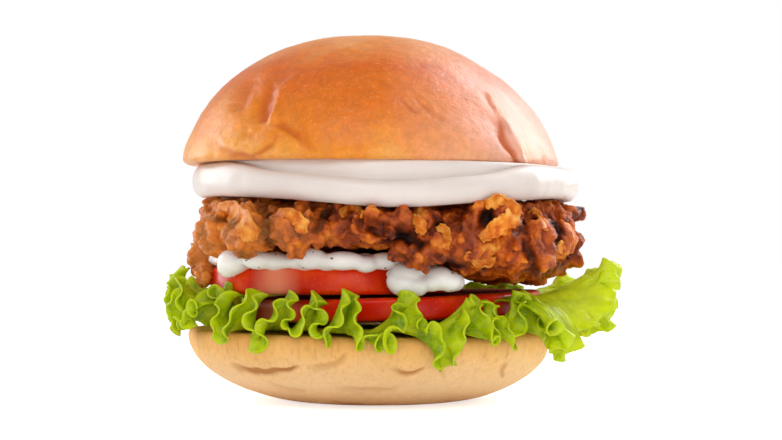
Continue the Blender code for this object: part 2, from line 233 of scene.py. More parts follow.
# %% [markdown]
# ## How round food is built
#
# Bread, mayonnaise and tomato are all round things whose outline changes as one walks round them. Each is a
# stack of rings, from a pole underneath, out round the side, to a pole on top. A plain turned shape would
# be too perfect, so every ring point is worked out from its own angle, and then pressed in or pushed out by
# noise and by creases. Angles are in degrees, 0 at the right and -90 at the front, and lengths are in mm.

# %% Helpers for rings and unevenness


def smoothstep(low, high, value):
    share = min(1.0, max(0.0, (value - low) / (high - low)))
    return share * share * (3.0 - 2.0 * share)


def mix(first, second, share):
    return first + (second - first) * share


def lobe(angle, centre, width):
    """A smooth hump round the burger: 1 at centre, a third at width degrees away."""
    turn = (angle - centre + 180.0) % 360.0 - 180.0
    return math.exp(-((turn / width) ** 2))


def uneven(point, grain, size, seed=0.0):
    """Noise between about -size and size, in lumps about one grain across."""
    return size * noise.noise(Vector((point[0] / grain + seed, point[1] / grain - seed, point[2] / grain)))


def round_point(centre, radius, angle, height):
    turn = math.radians(angle)
    return Vector((centre[0] + radius * math.cos(turn), centre[1] + radius * math.sin(turn), height))


def angles_round(count):
    return [360.0 * step / count - 180.0 for step in range(count)]


def node_box(node):
    """A node's lowest and highest corner, in mm."""
    low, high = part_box(node)
    return Vector(low) / MM, Vector(high) / MM


def round_space(node):
    """The centre of a round solid, and its radius, in mm."""
    low, high = node_box(node)
    return ((low.x + high.x) / 2.0, (low.y + high.y) / 2.0), (high.x - low.x) / 2.0


def finish_piece(piece, node):
    """Puts a piece on the burger's one body, in the place of its plain solid."""
    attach(piece, "root")
    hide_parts(node)
    print(piece.name, "faces:", len(piece.data.polygons))


def ring_piece(name, rings, material, values=None):
    """A closed mesh through rings in mm, from the lowest pole to the highest, with values to colour by."""
    count = len(rings[0])
    points = [point for ring in rings for point in ring]
    points.append(sum(rings[0], Vector()) / count)
    points.append(sum(rings[-1], Vector()) / count)
    after = [(step + 1) % count for step in range(count)]
    faces = []
    for row in range(len(rings) - 1):
        low, high = row * count, (row + 1) * count
        faces += [(low + step, low + after[step], high + after[step], high + step) for step in range(count)]
    last = (len(rings) - 1) * count
    faces += [(len(points) - 2, after[step], step) for step in range(count)]
    faces += [(len(points) - 1, last + step, last + after[step]) for step in range(count)]
    mesh = bpy.data.meshes.new(name)
    mesh.from_pydata([tuple(point * MM) for point in points], [], faces)
    for label, numbers in (values or {}).items():
        layer = mesh.attributes.new(label, "FLOAT", "POINT")
        layer.data.foreach_set("value", list(numbers) + [0.0, 0.0])
    mesh.shade_smooth()
    mesh.materials.append(material)
    return new_object(name, mesh)


print("smoothstep half way:", smoothstep(0.0, 1.0, 0.5))

# %% [markdown]
# ## Creases in the crust
#
# A soft bun wrinkles where it was pressed. A wrinkle is a line on the crust along which the surface sinks.
# One of its sides is steep and ends in a low ridge, and the other rises gently. It could be painted as
# bump, but the larger ones show in the outline and catch the light, so they are pressed into the mesh. Each
# crease is a short path of (x, z) points in mm on the front or the back of the bun, with a depth and a
# width, and whether it runs on out at its end.

# %% Creases
CREASE_REACH = 30.0


def along_path(x, z, path):
    """The distance from a point to a path, above zero on its left, and how far along that is, from 0 to 1."""
    nearest, share = 1e9, 0.0
    for step in range(len(path) - 1):
        (x0, z0), (x1, z1) = path[step], path[step + 1]
        length = math.hypot(x1 - x0, z1 - z0)
        run = max(0.0, min(1.0, ((x - x0) * (x1 - x0) + (z - z0) * (z1 - z0)) / length ** 2))
        off_x, off_z = x - mix(x0, x1, run), z - mix(z0, z1, run)
        distance = math.hypot(off_x, off_z)
        if distance < abs(nearest):
            nearest = math.copysign(distance, (x1 - x0) * off_z - (z1 - z0) * off_x)
            share = (step + run) / (len(path) - 1)
    return nearest, share


def crease_press(point, creases):
    """How deep all the creases press the crust in at a point, in mm: below zero on the ridge beside each."""
    total = 0.0
    x = point[0] + uneven(point, 4.0, 0.9, 21.0)
    z = point[2] + uneven(point, 4.0, 0.9, 22.0)
    for path, depth, width, side, open_end in creases:
        if point[1] * side < 0.0 or abs(x - path[0][0]) > CREASE_REACH:
            continue
        distance, share = along_path(x, z, path)
        reach = distance / (width * mix(1.5, 0.85, share))
        if abs(reach) > 7.0:
            continue
        taper = smoothstep(0.0, 0.45, share) * (1.0 if open_end else smoothstep(0.0, 0.2, 1.0 - share))
        valley = math.exp(-((reach if reach > 0.0 else reach / 2.4) ** 2))
        ridge = 0.5 * math.exp(-(((reach - 2.3) / 1.3) ** 2))
        total += depth * taper * (valley - ridge)
    return total


FRONT, BACK = -1.0, 1.0
CROWN_CREASES = (
    (((-26.6, 88.0), (-27.0, 83.0), (-28.0, 78.0), (-29.0, 73.6)), 1.25, 0.95, FRONT, False),
    (((-31.4, 89.6), (-32.6, 85.5), (-34.6, 81.4), (-36.0, 77.0)), 0.6, 1.2, FRONT, False),
    (((-21.0, 90.6), (-24.0, 87.0), (-26.8, 83.4)), 0.45, 1.0, FRONT, False),
    (((-45.6, 74.0), (-41.5, 69.9), (-36.6, 66.9), (-31.6, 66.2), (-28.0, 68.2), (-24.0, 68.6)),
     0.8, 0.6, FRONT, False),
    (((-14.6, 65.4), (-18.8, 69.9), (-22.6, 73.0), (-27.4, 74.8)), 0.8, 0.55, FRONT, False),
    (((-21.4, 71.8), (-24.6, 71.4), (-26.0, 68.4)), 0.4, 0.5, FRONT, False),
    (((-34.6, 74.8), (-32.6, 71.8), (-29.6, 71.0)), 0.4, 0.6, FRONT, False),
    (((30.8, 79.5), (34.0, 72.6), (35.6, 68.7), (38.2, 63.6)), 1.3, 0.6, FRONT, True),
    (((6.4, 82.0), (8.8, 79.0), (11.6, 76.4)), 0.4, 0.45, FRONT, False),
    (((9.4, 82.6), (12.6, 79.4), (15.6, 77.6)), 0.35, 0.4, FRONT, False),
    (((12.0, 80.0), (15.6, 76.4), (20.0, 74.6)), 0.25, 0.4, FRONT, False),
    (((28.4, 84.4), (29.6, 82.2), (31.4, 79.2)), 0.4, 0.4, FRONT, True),
    (((44.0, 72.0), (45.2, 67.0), (45.8, 64.4)), 0.28, 0.35, FRONT, True),
    (((26.5, 70.5), (27.2, 67.0), (27.4, 64.4)), 0.2, 0.35, FRONT, True),
    (((-8.0, 84.0), (-3.0, 80.0), (0.0, 74.0)), 0.6, 0.9, BACK, False),
    (((22.0, 74.0), (27.0, 70.0), (31.0, 64.4)), 0.8, 0.6, BACK, True),
    (((-34.0, 72.0), (-28.0, 69.0), (-20.0, 69.5)), 0.6, 0.7, BACK, False),
)
HEEL_CREASES = (
    (((-40.5, 13.6), (-35.0, 11.2), (-29.0, 10.4), (-24.0, 10.8), (-17.5, 12.8)), 1.0, 0.42, FRONT, False),
    (((-18.5, 12.6), (-14.5, 12.0), (-9.0, 13.4), (-6.0, 16.0)), 0.4, 0.5, FRONT, False),
    (((3.6, 12.2), (7.0, 10.8), (10.6, 10.6), (14.0, 12.4)), 0.75, 0.34, FRONT, False),
    (((35.5, 12.8), (34.6, 10.4), (35.0, 7.4)), 0.5, 0.4, FRONT, False),
    (((19.0, 12.6), (18.4, 10.2), (18.8, 7.8)), 0.25, 0.4, FRONT, False),
    (((-14.0, 6.8), (-3.0, 5.8), (9.0, 6.6)), 0.3, 0.5, FRONT, False),
    (((-30.0, 8.2), (-24.0, 6.0), (-16.0, 5.2)), 0.25, 0.5, FRONT, False),
    (((-30.0, 12.0), (-18.0, 10.4), (-6.0, 11.4)), 0.6, 0.5, BACK, False),
    (((14.0, 11.0), (24.0, 10.2), (30.0, 12.4)), 0.5, 0.45, BACK, False),
)
print("creases:", len(CROWN_CREASES) + len(HEEL_CREASES))

# %% [markdown]
# ## The crown
#
# The top half of a brioche bun is a low dome on a rounded rim. It rose in the oven, so its skin is tight
# and almost smooth on top, and it wrinkled a little near the rim when the burger was pressed together. The
# outline is a superellipse, which is fuller at the shoulder than a circle, and the rings sit closer
# together where the outline curves most.

# %% The crown's shape
CROWN_CENTRE, crown_half = round_space("bun_crown")
CROWN_RADIUS = crown_half - 0.1
CROWN_CUT = 64.7
CROWN_LEAN = -0.013
CROWN_RIM = 1.5
CROWN_RISE = node_box("bun_crown")[1].z - CROWN_CUT - CROWN_RIM - 0.5
CROWN_SHIFT = 0.4
CROWN_SEGMENTS = 440
CROWN_RINGS = 125
DENT_PLACE, DENT_SIZE = (-30.6, 79.0), 3.8


def crown_outline(steps):
    """(radius share, height in mm) from under the bun, round its rim, to its top."""
    outline = [(0.3, 0.0), (0.6, 0.0), (0.85, 0.0), (0.93, 0.0)]
    for step in range(1, 8):
        turn = math.radians(-90.0 + 90.0 * step / 8.0)
        outline.append((1.0 + CROWN_RIM * (math.cos(turn) - 1.0) / CROWN_RADIUS,
            CROWN_RIM * (1.0 + math.sin(turn))))
    for step in range(steps):
        climb = math.radians(89.3) * step / (steps - 1)
        side = math.cos(climb) ** (2.0 / 2.45)
        rise = math.sin(climb) ** (2.0 / 1.4)
        outline.append((side, CROWN_RIM + CROWN_RISE * rise))
    return outline


def build_crown(material):
    rings, press = [], []
    for share, height in crown_outline(CROWN_RINGS):
        ring = []
        for angle in angles_round(CROWN_SEGMENTS):
            radius = CROWN_RADIUS * share
            point = round_point(CROWN_CENTRE, radius, angle, CROWN_CUT + height)
            point.x -= CROWN_SHIFT * smoothstep(0.0, CROWN_RISE, height)
            point.z += CROWN_LEAN * point.x
            inward = Vector((CROWN_CENTRE[0], CROWN_CENTRE[1], 48.0)) - point
            inward.z *= smoothstep(0.0, 5.0, height)
            inward.normalize()
            crease = crease_press(point, CROWN_CREASES)
            dip = crease * smoothstep(0.5, 0.9, share if height < 1.0 else 1.0)
            dent = Vector((point.x - DENT_PLACE[0], (point.z - DENT_PLACE[1]) * 0.6)).length
            dip += math.exp(-((dent / DENT_SIZE) ** 2)) * (1.0 if point.y < 0.0 else 0.0)
            dip += (uneven(point, 24.0, 0.8) + uneven(point, 8.0, 0.22, 3.0) + uneven(point, 2.6, 0.1, 5.0)
                    + uneven(point, 1.2, 0.05, 6.0))
            dip += uneven(point, 4.5, 0.5, 9.0) * lobe(height, 0.8, 1.6) * smoothstep(0.9, 1.0, share)
            ring.append(point + inward * dip)
            press.append(crease)
        rings.append(ring)
    return ring_piece("glazed_crown", rings, material, {"crease": press})


print("crown radius and rise in mm:", round(CROWN_RADIUS, 1), round(CROWN_RISE, 1))

# %% [markdown]
# ## Glazed crust
#
# Brioche crust is baked egg glaze over bread: a thin brown film, smooth to the touch but finely leathery,
# so its broad highlight breaks into specks, and a faint sheen shows near its outline; the pale specks in its
# colour are painted highlights. It is deepest orange on its shoulder, golden nearer the rim and more golden
# towards its left side. Its paler top is a painted sheen, and a pinkish-white wash towards its right side is
# a painted highlight. Colour follows height and two sizes of blotch, and the creases, which the mesh carries
# as an attribute, are darkened as painted shade. Egg glaze has an IOR near 1.45.

# %% The crust's finish


def crust_material():
    made, tree, shader, place = new_material("egg glazed brioche crust")
    axes = add(tree, "ShaderNodeSeparateXYZ", (place,))
    blotch, mottle, speck, pores = (
        add(tree, "ShaderNodeTexNoise", {
            "Vector": place, "Scale": 1.0 / size, "Detail": detail, "Roughness": rough})
        for size, detail, rough in ((17.0, 3.0, 0.55), (2.6, 4.0, 0.6), (0.75, 3.0, 0.7), (0.9, 5.0, 0.65)))
    sway = add(tree, "ShaderNodeMath", (blotch, 26.0, -13.0), operation="MULTIPLY_ADD")
    level = add(tree, "ShaderNodeMath", (axes.outputs["Z"], sway), operation="ADD")
    flank = add(tree, "ShaderNodeMapRange", (axes.outputs["X"], -14.0, -44.0, 0.0, -7.0))
    paler = add(tree, "ShaderNodeMath", (level, flank), operation="ADD")
    height = add(tree, "ShaderNodeMapRange", (paler, 63.0, 104.0))
    # The ramp's two highest stops make the top paler: a painted sheen.
    bake = add(tree, "ShaderNodeValToRGB", {"Fac": height}, [(0.0, "#EA9A3C"), (0.1, "#E6881C"),
            (0.3, "#DE7402"), (0.62, "#D86200"), (0.86, "#EA8C32"), (1.0, "#F6AC68")])
    # Painted highlight: a blotchy pinkish-white wash that grows towards the right side of the crown.
    sheen_right_mask = add(tree, "ShaderNodeMapRange", (axes.outputs["X"], 2.0, 40.0, 0.0, 1.3))
    uneven_sheen_right = add(tree, "ShaderNodeMath", (sheen_right_mask, blotch), operation="MULTIPLY")
    sheen_right_painted = add(tree, "ShaderNodeMix", {0: uneven_sheen_right, 6: bake, 7: "#EEBAAE"}, data_type="RGBA")
    fine = add(tree, "ShaderNodeMapRange", (mottle, 0.3, 0.7, 0.86, 1.1))
    # Painted highlight: tiny pale specks stand for glints on the leathery glaze.
    glint_mask = add(tree, "ShaderNodeMapRange", (speck, 0.56, 0.74, 0.0, 0.4))
    glints_painted = add(tree, "ShaderNodeMix", {0: glint_mask, 6: sheen_right_painted, 7: "#F6BE84"}, data_type="RGBA")
    toned = add(tree, "ShaderNodeMix", {0: 1.0, 6: glints_painted, 7: fine}, data_type="RGBA", blend_type="MULTIPLY")
    # Painted shade: the crust's colour darkens along the creases, by their depth.
    crease = add(tree, "ShaderNodeAttribute", attribute_name="crease")
    depth = add(tree, "ShaderNodeMapRange", (crease.outputs["Fac"], 0.04, 0.9, 0.0, 0.8))
    crease_shaded = add(tree, "ShaderNodeMix", {0: depth, 6: toned, 7: "#C25400"}, data_type="RGBA")
    leather = add(tree, "ShaderNodeTexVoronoi", {"Vector": place, "Scale": 1.0 / 1.7}, feature="SMOOTH_F1")
    both = add(tree, "ShaderNodeMath", (leather, 0.6, pores), operation="MULTIPLY_ADD")
    relief = add(tree, "ShaderNodeBump", {"Height": both, "Strength": 0.9, "Distance": 0.24 * MM})
    shine = add(tree, "ShaderNodeMapRange", (mottle, 0.3, 0.7, 0.36, 0.5))
    fill(shader, {"Base Color": crease_shaded, "Normal": relief, "Roughness": shine, "IOR": 1.45,
            "Specular IOR Level": 0.3, "Coat Weight": 0.22, "Coat Roughness": 0.3, "Sheen Weight": 0.16,
            "Sheen Roughness": 0.3, "Sheen Tint": "#FFDCC8"})
    return made


crown = build_crown(crust_material())
finish_piece(crown, "bun_crown")

# %% [markdown]
# ## The heel
#
# The bottom half lay on the tray, so it is a shallow bowl on a small flat, pale and matte. Its side swells
# in the curve of a bowl, and the weight above wrinkles it in short upright folds under the lettuce and in a
# few long creases lower down.

# %% The heel's shape
HEEL_CENTRE, HEEL_RADIUS = round_space("bun_heel")
HEEL_FLAT = 21.0
HEEL_BELLY = 17.5
HEEL_TOP = 19.4
HEEL_LEAN = -0.015
HEEL_SLIDE = 0.12
HEEL_ROUND = 1.9
HEEL_RINGS = 60


def heel_side(share):
    """The radius at a share of the belly's height: a bowl's curve from the flat to the belly."""
    return mix(HEEL_FLAT, HEEL_RADIUS, (1.0 - (1.0 - share) ** 2) ** 0.6)


def build_heel(material):
    outline = [(10.0, 0.0), (20.0, 0.0)]
    for step in range(HEEL_RINGS + 1):
        climb = (step / HEEL_RINGS) ** 1.6
        outline.append((heel_side(climb), HEEL_BELLY * climb))
    for step in range(1, 6):
        turn = math.radians(90.0 * step / 5.0)
        outline.append((HEEL_RADIUS - HEEL_ROUND * (1.0 - math.cos(turn)),
            HEEL_BELLY + HEEL_ROUND * math.sin(turn)))
    outline += [(HEEL_RADIUS - 6.0, HEEL_TOP), (HEEL_RADIUS - 20.0, HEEL_TOP), (15.0, HEEL_TOP)]
    rings, press = [], []
    for radius, height in outline:
        ring = []
        for angle in angles_round(400):
            lean = HEEL_LEAN * radius * math.cos(math.radians(angle)) * smoothstep(12.0, HEEL_TOP, height)
            point = round_point(HEEL_CENTRE, radius, angle, height + lean)
            point.x += HEEL_SLIDE * (HEEL_BELLY - height)
            loose = smoothstep(0.3, 3.0, height) * smoothstep(HEEL_FLAT - 3.0, HEEL_FLAT + 6.0, radius)
            upright = Vector((point.x / 2.4, point.y / 2.4, point.z / 11.0))
            crease = crease_press(point, HEEL_CREASES)
            dip = crease + 0.4 + uneven(point, 16.0, 0.5) + uneven(point, 5.0, 0.14, 4.0)
            dip += 0.42 * noise.noise(upright) * smoothstep(7.0, 15.0, height)
            inward = Vector((HEEL_CENTRE[0], HEEL_CENTRE[1], point.z + 4.0)) - point
            ring.append(point + inward.normalized() * dip * loose)
            press.append(crease)
        rings.append(ring)
    return ring_piece("pale_heel", rings, material, {"crease": press})


print("heel radius in mm:", round(HEEL_RADIUS, 1))

# %% [markdown]
# ## Pale crust
#
# The heel is bread crust with no glaze, floured and baked away from the heat: matte, cream below and more
# golden in a band under its top edge, with a thin brown line where it met the tray. Fine upright wrinkles
# are noise that is stretched along Z, and their furrows and the creases are darkened as painted shade.
# Rough, dry crust scatters light widely, so its roughness is high.

# %% The pale crust's finish


def pale_crust_material():
    made, tree, shader, place = new_material("unglazed bun crust")
    axes = add(tree, "ShaderNodeSeparateXYZ", (place,))
    blotch, mottle = (
        add(tree, "ShaderNodeTexNoise", {
            "Vector": place, "Scale": 1.0 / size, "Detail": detail, "Roughness": rough})
        for size, detail, rough in ((12.0, 4.0, 0.6), (1.6, 4.0, 0.65)))
    sway = add(tree, "ShaderNodeMath", (blotch, 7.0, -3.5), operation="MULTIPLY_ADD")
    level = add(tree, "ShaderNodeMath", (axes.outputs["Z"], sway), operation="ADD")
    height = add(tree, "ShaderNodeMapRange", (level, 0.0, 20.0))
    bake = add(tree, "ShaderNodeValToRGB", {"Fac": height}, [(0.0, "#D2944E"), (0.06, "#F2C28A"),
            (0.3, "#F8D2A2"), (0.55, "#F6C88E"), (0.75, "#F6BE72"), (1.0, "#F2AA54")])
    fine = add(tree, "ShaderNodeMapRange", (mottle, 0.3, 0.7, 0.94, 1.04))
    toned = add(tree, "ShaderNodeMix", {0: 1.0, 6: bake, 7: fine}, data_type="RGBA", blend_type="MULTIPLY")
    upright = add(tree, "ShaderNodeVectorMath", (place, (1.0 / 0.9, 1.0 / 0.9, 1.0 / 6.0)),
            operation="MULTIPLY")
    wrinkle = add(tree, "ShaderNodeTexNoise", {"Vector": upright, "Scale": 1.0, "Detail": 3.0})
    # Painted shade: the colour darkens in the furrows of the upright wrinkles, more towards the top.
    band = add(tree, "ShaderNodeMapRange", (axes.outputs["Z"], 4.0, 15.0, 0.05, 0.4))
    furrow_shade = add(tree, "ShaderNodeMapRange", (wrinkle, 0.46, 0.3))
    folds = add(tree, "ShaderNodeMath", (furrow_shade, band), operation="MULTIPLY")
    furrow_shaded = add(tree, "ShaderNodeMix", {0: folds, 6: toned, 7: "#C98A4E"}, data_type="RGBA")
    # Painted shade: the colour darkens along the creases, by their depth.
    crease = add(tree, "ShaderNodeAttribute", attribute_name="crease")
    depth = add(tree, "ShaderNodeMapRange", (crease.outputs["Fac"], 0.05, 0.7))
    crease_shaded = add(tree, "ShaderNodeMix", {0: depth, 6: furrow_shaded, 7: "#BE8246"}, data_type="RGBA")
    both = add(tree, "ShaderNodeMath", (mottle, 0.7, wrinkle), operation="MULTIPLY_ADD")
    relief = add(tree, "ShaderNodeBump", {"Height": both, "Strength": 0.6, "Distance": 0.36 * MM})
    fill(shader, {"Base Color": crease_shaded, "Normal": relief, "Roughness": 0.7, "IOR": 1.4})
    return made


heel = build_heel(pale_crust_material())
finish_piece(heel, "bun_heel")

# %% [markdown]
# ## The mayonnaise
#
# Thick mayonnaise holds the shape that it was spread and squeezed into. A fat round lip has been pressed
# out under the crown, lowest at the front, and above it a second, shallower swell stands against the bread.
# Both are arcs in one outline, whose height changes with the angle.

# %% The mayonnaise's shape
MAYO_CENTRE, MAYO_RADIUS = round_space("mayonnaise_layer")
MAYO_SEGMENTS = 300
MAYO_FLOOR = 57.0
LIP_BOTTOM = 56.2
LIP_THICK = 6.9
LIP_DEPTH = 3.5


def mayo_sag(angle):
    """How far the lip sags at an angle."""
    sag = 3.5 * lobe(angle, -84.0, 40.0) + 1.3 * lobe(angle, 0.0, 24.0) + 0.8 * lobe(angle, 100.0, 50.0)
    return sag + 0.25 * math.sin(math.radians(7.0 * angle)) * lobe(angle, -60.0, 60.0)


def build_mayonnaise(material):
    columns = []
    for angle in angles_round(MAYO_SEGMENTS):
        turn = math.radians(angle)
        radius = MAYO_RADIUS + 0.7 * noise.noise(Vector((2.0 * math.cos(turn), 2.0 * math.sin(turn), 4.0)))
        bottom = LIP_BOTTOM - mayo_sag(angle)
        tiered = smoothstep(54.0, 30.0, abs(angle + 92.0))
        ceiling = CROWN_CUT + CROWN_LEAN * radius * math.cos(turn) + 0.25
        top = mix(ceiling - 0.5, bottom + LIP_THICK, tiered)
        outline = [(radius * share, MAYO_FLOOR) for share in (0.2, 0.45, 0.65)]
        outline += [(radius * 0.8, mix(MAYO_FLOOR, bottom + 0.6, 0.7)), (radius * 0.88, bottom + 0.25)]
        for step in range(15):
            climb = math.radians(-86.0 + 176.0 * step / 14.0)
            out = math.copysign(abs(math.cos(climb)) ** 0.8, math.cos(climb))
            outline.append((radius - LIP_DEPTH * (1.0 - out), mix(bottom, top, 0.5 + 0.5 * math.sin(climb))))
        tier = radius - LIP_DEPTH + 0.3
        outline += [(tier - 0.5, top - 0.05), (tier - 1.1, top - 0.15)]
        for step in range(1, 8):
            climb = math.radians(-60.0 + 150.0 * step / 8.0)
            height = mix(top - 0.15, ceiling, 0.5 + 0.5 * math.sin(climb))
            outline.append((tier - 1.9 + 1.1 * math.cos(climb), height))
        outline += [(radius * share, ceiling) for share in (0.86, 0.6, 0.3)]
        columns.append([round_point(MAYO_CENTRE, reach, angle, height) for reach, height in outline])
    rings = []
    for row in range(len(columns[0])):
        ring = []
        for column in columns:
            point = column[row]
            outward = (point - Vector((MAYO_CENTRE[0], MAYO_CENTRE[1], 60.0))).normalized()
            reach = math.hypot(point.x - MAYO_CENTRE[0], point.y - MAYO_CENTRE[1])
            edge = smoothstep(0.82, 0.95, reach / MAYO_RADIUS)
            streak = noise.noise(Vector((point.x / 1.6, point.y / 1.6, point.z / 12.0)))
            swell = uneven(point, 9.0, 0.45, 2.0) + uneven(point, 4.0, 0.14, 5.0)
            swell += 0.16 * streak * smoothstep(-20.0, 20.0, point.x)
            ring.append(point + outward * swell * edge)
        rings.append(ring)
    return ring_piece("mayonnaise", rings, material)

# %% [markdown]
# ## Mayonnaise, sauce and their shine
#
# Both are emulsions: white because countless oil droplets scatter the light just below the surface, which
# gives them a soft, slightly see-through edge. That is what the shader's subsurface setting does, here over
# a millimetre or two. Mayonnaise is cream white and satin. The herb sauce is colder, wetter and shinier.

# %% The emulsions' finish


def emulsion_material(name, light, shade, roughness, grain):
    made, tree, shader, place = new_material(name)
    cloud, ripple = (
        add(tree, "ShaderNodeTexNoise", {
            "Vector": place, "Scale": 1.0 / size, "Detail": detail, "Roughness": rough})
        for size, detail, rough in ((8.0, 3.0, 0.5), (grain, 2.0, 0.5)))
    tone = add(tree, "ShaderNodeMix", {0: cloud, 6: colour(shade), 7: colour(light)}, data_type="RGBA")
    relief = add(tree, "ShaderNodeBump", {"Height": ripple, "Strength": 0.25, "Distance": 0.1 * MM})
    fill(shader, {"Base Color": tone, "Normal": relief, "Roughness": roughness, "IOR": 1.46,
            "Subsurface Weight": 0.25, "Subsurface Radius": (1.0, 0.75, 0.5), "Subsurface Scale": 1.5 * MM})
    return made


mayo = build_mayonnaise(emulsion_material("satin mayonnaise", "#E4DAD4", "#DACEC6", 0.38, 2.4))
finish_piece(mayo, "mayonnaise_layer")

# %% [markdown]
# ## The tomato slices
#
# Two slices run right through the burger. What shows is the rim of skin, a little convex, and a narrow edge
# of wet flesh on top, and each slice has the five soft corners of a real tomato. The cut faces carry
# shallow hollows where the seeds sit, which show when the burger is turned.

# %% The slices' shape


def build_slice(name, node, thickness, lean, material):
    low = node_box(node)[0]
    centre, half = round_space(node)
    radius = half - 0.15
    bottom = low.z - lean * low.x
    outline = [(share, 0.0) for share in (0.15, 0.35, 0.55, 0.75, 0.9)]
    outline += [(1.0 - 2.4 / radius, 0.0), (1.0 - 1.3 / radius, 0.0), (1.0 - 0.8 / radius, 0.008)]
    for step in range(1, 12):
        climb = step / 12.0
        bulge = math.sin(math.pi * (0.24 + 0.54 * climb)) ** 0.8
        outline.append((1.0 - 1.2 * (1.0 - bulge) / radius, 0.015 + 0.94 * climb))
    outline += [(1.0 - 0.75 / radius, 0.985), (1.0 - 1.4 / radius, 1.0), (1.0 - 2.6 / radius, 0.995)]
    outline += [(share, 1.0) for share in (0.9, 0.8, 0.7, 0.6, 0.5, 0.4, 0.25, 0.12)]
    rings, flesh = [], []
    for share, climb in outline:
        ring = []
        for angle in angles_round(260):
            corner = 0.45 * math.cos(math.radians(5.0 * angle + 20.0))
            point = round_point(centre, share * radius + corner * share, angle, 0.0)
            hollow = 0.5 * smoothstep(0.3, 0.5, share) * smoothstep(0.88, 0.72, share)
            hollow *= 0.5 + 0.5 * math.cos(math.radians(5.0 * angle))
            height = climb * thickness - (hollow if climb > 0.5 else 0.0)
            point.z = bottom + lean * point.x + height + uneven(point, 6.0, 0.12) * climb
            outward = Vector((point.x - centre[0], point.y - centre[1], 0.0)).normalized()
            ring.append(point + outward * uneven(point, 7.0, 0.25, 2.0) * share)
            flesh.append(1.0 if climb in (0.0, 1.0) or climb == 0.995 else 0.0)
        rings.append(ring)
    return ring_piece(name, rings, material, {"flesh": flesh})

# %% [markdown]
# ## Tomato skin and flesh
#
# Skin is a thin, glossy, waxy film over wet red flesh: a sharp highlight on a deep colour. It is deepest in
# the blotches' dark ends and more orange at their light ones, has tiny pale pores, and a painted highlight, a
# paler upright streak, on its shoulder. The flesh at the cut is paler and duller. Water under wax has an IOR
# near 1.34.

# %% The tomato's finish


def tomato_material():
    made, tree, shader, place = new_material("wet tomato skin")
    blotch, pulp, wet = (
        add(tree, "ShaderNodeTexNoise", {
            "Vector": place, "Scale": 1.0 / size, "Detail": detail, "Roughness": rough})
        for size, detail, rough in ((9.0, 3.0, 0.5), (3.0, 4.0, 0.5), (1.2, 3.0, 0.5)))
    skin = add(tree, "ShaderNodeValToRGB", {"Fac": blotch}, [(0.3, "#C81800"), (0.5, "#E02800"),
            (0.72, "#F04C00")])
    fleck = add(tree, "ShaderNodeTexVoronoi", {"Vector": place, "Scale": 1.0 / 1.5})
    pore = add(tree, "ShaderNodeMapRange", (fleck, 0.16, 0.08, 0.0, 0.35))
    dotted = add(tree, "ShaderNodeMix", {0: pore, 6: skin, 7: "#E8875A"}, data_type="RGBA")
    cut = add(tree, "ShaderNodeAttribute", attribute_name="flesh")
    inside = add(tree, "ShaderNodeValToRGB", {"Fac": pulp}, [(0.3, "#C23A18"), (0.7, "#DE6A3A")])
    axes = add(tree, "ShaderNodeSeparateXYZ", (place,))
    # Painted highlight: a pale upright streak on the skin around x = -25.5 mm.
    aside = add(tree, "ShaderNodeMath", (axes.outputs["X"], 25.5), operation="ADD")
    off = add(tree, "ShaderNodeMath", (aside,), operation="ABSOLUTE")
    painted_highlight_mask = add(tree, "ShaderNodeMapRange", (off, 7.0, 1.0, 0.0, 0.72))
    shoulder = add(tree, "ShaderNodeMix", {0: painted_highlight_mask, 6: dotted, 7: "#FAA07A"}, data_type="RGBA")
    tone = add(tree, "ShaderNodeMix", {0: cut.outputs["Fac"], 6: shoulder, 7: inside}, data_type="RGBA")
    relief = add(tree, "ShaderNodeBump", {"Height": wet, "Strength": 0.2, "Distance": 0.08 * MM})
    dull = add(tree, "ShaderNodeMapRange", (cut.outputs["Fac"], 0.0, 1.0, 0.27, 0.75))
    fill(shader, {"Base Color": tone, "Normal": relief, "Roughness": dull, "IOR": 1.34,
            "Specular IOR Level": 0.36, "Subsurface Weight": 0.12, "Subsurface Radius": (1.0, 0.25, 0.1),
            "Subsurface Scale": 1.2 * MM})
    return made


tomato = tomato_material()
# The columns: piece, node, thickness in mm, lean.
SLICES = (("tomato_lower", "tomato_slice_lower", 5.9, 0.03), ("tomato_upper", "tomato_slice_upper", 6.9, 0.0))
for slice_name, slice_node, thickness, lean in SLICES:
    finish_piece(build_slice(slice_name, slice_node, thickness, lean, tomato), slice_node)

# %% [markdown]
# ## Soft lumps: sauce pressed out between the layers
#
# Sauce that is squeezed out of a burger makes rounded lumps that run together. A cheap way to model them is
# to overlap many flattened balls and let a voxel remesh melt them into one closed skin, which a smoothing
# pass then rounds where they meet. The balls come from a short rule: they sit along the edge of the slice,
# and each is a little different, from a seeded random generator.

# %% Balls that melt into one skin


def add_balls(shape, balls):
    """Puts (centre, radii) balls in mm into a bmesh."""
    for centre, radii in balls:
        made = bmesh.ops.create_icosphere(shape, subdivisions=3, radius=1.0)
        for vertex in made["verts"]:
            vertex.co = Vector(centre) * MM + Vector([part * size * MM for part, size in zip(vertex.co,
                radii)])


def melt(draft, voxel, smoothing):
    """Melts what a piece is made of into one closed skin."""
    skin = draft.modifiers.new("one skin", "REMESH")
    skin.mode = "VOXEL"
    skin.voxel_size = voxel * MM
    soft = draft.modifiers.new("soft", "SMOOTH")
    soft.factor = 0.5
    soft.iterations = smoothing


def settle(draft, material):
    """Turns an object with modifiers into a plain smooth mesh with one material."""
    depsgraph = bpy.context.evaluated_depsgraph_get()
    mesh = bpy.data.meshes.new_from_object(draft.evaluated_get(depsgraph))
    draft.modifiers.clear()
    draft.data = mesh
    mesh.materials.clear()
    mesh.materials.append(material)
    mesh.shade_smooth()
    return draft


def mesh_object(name, shape):
    """An object from a bmesh, which is given back."""
    mesh = bpy.data.meshes.new(name)
    shape.to_mesh(mesh)
    shape.free()
    return new_object(name, mesh)


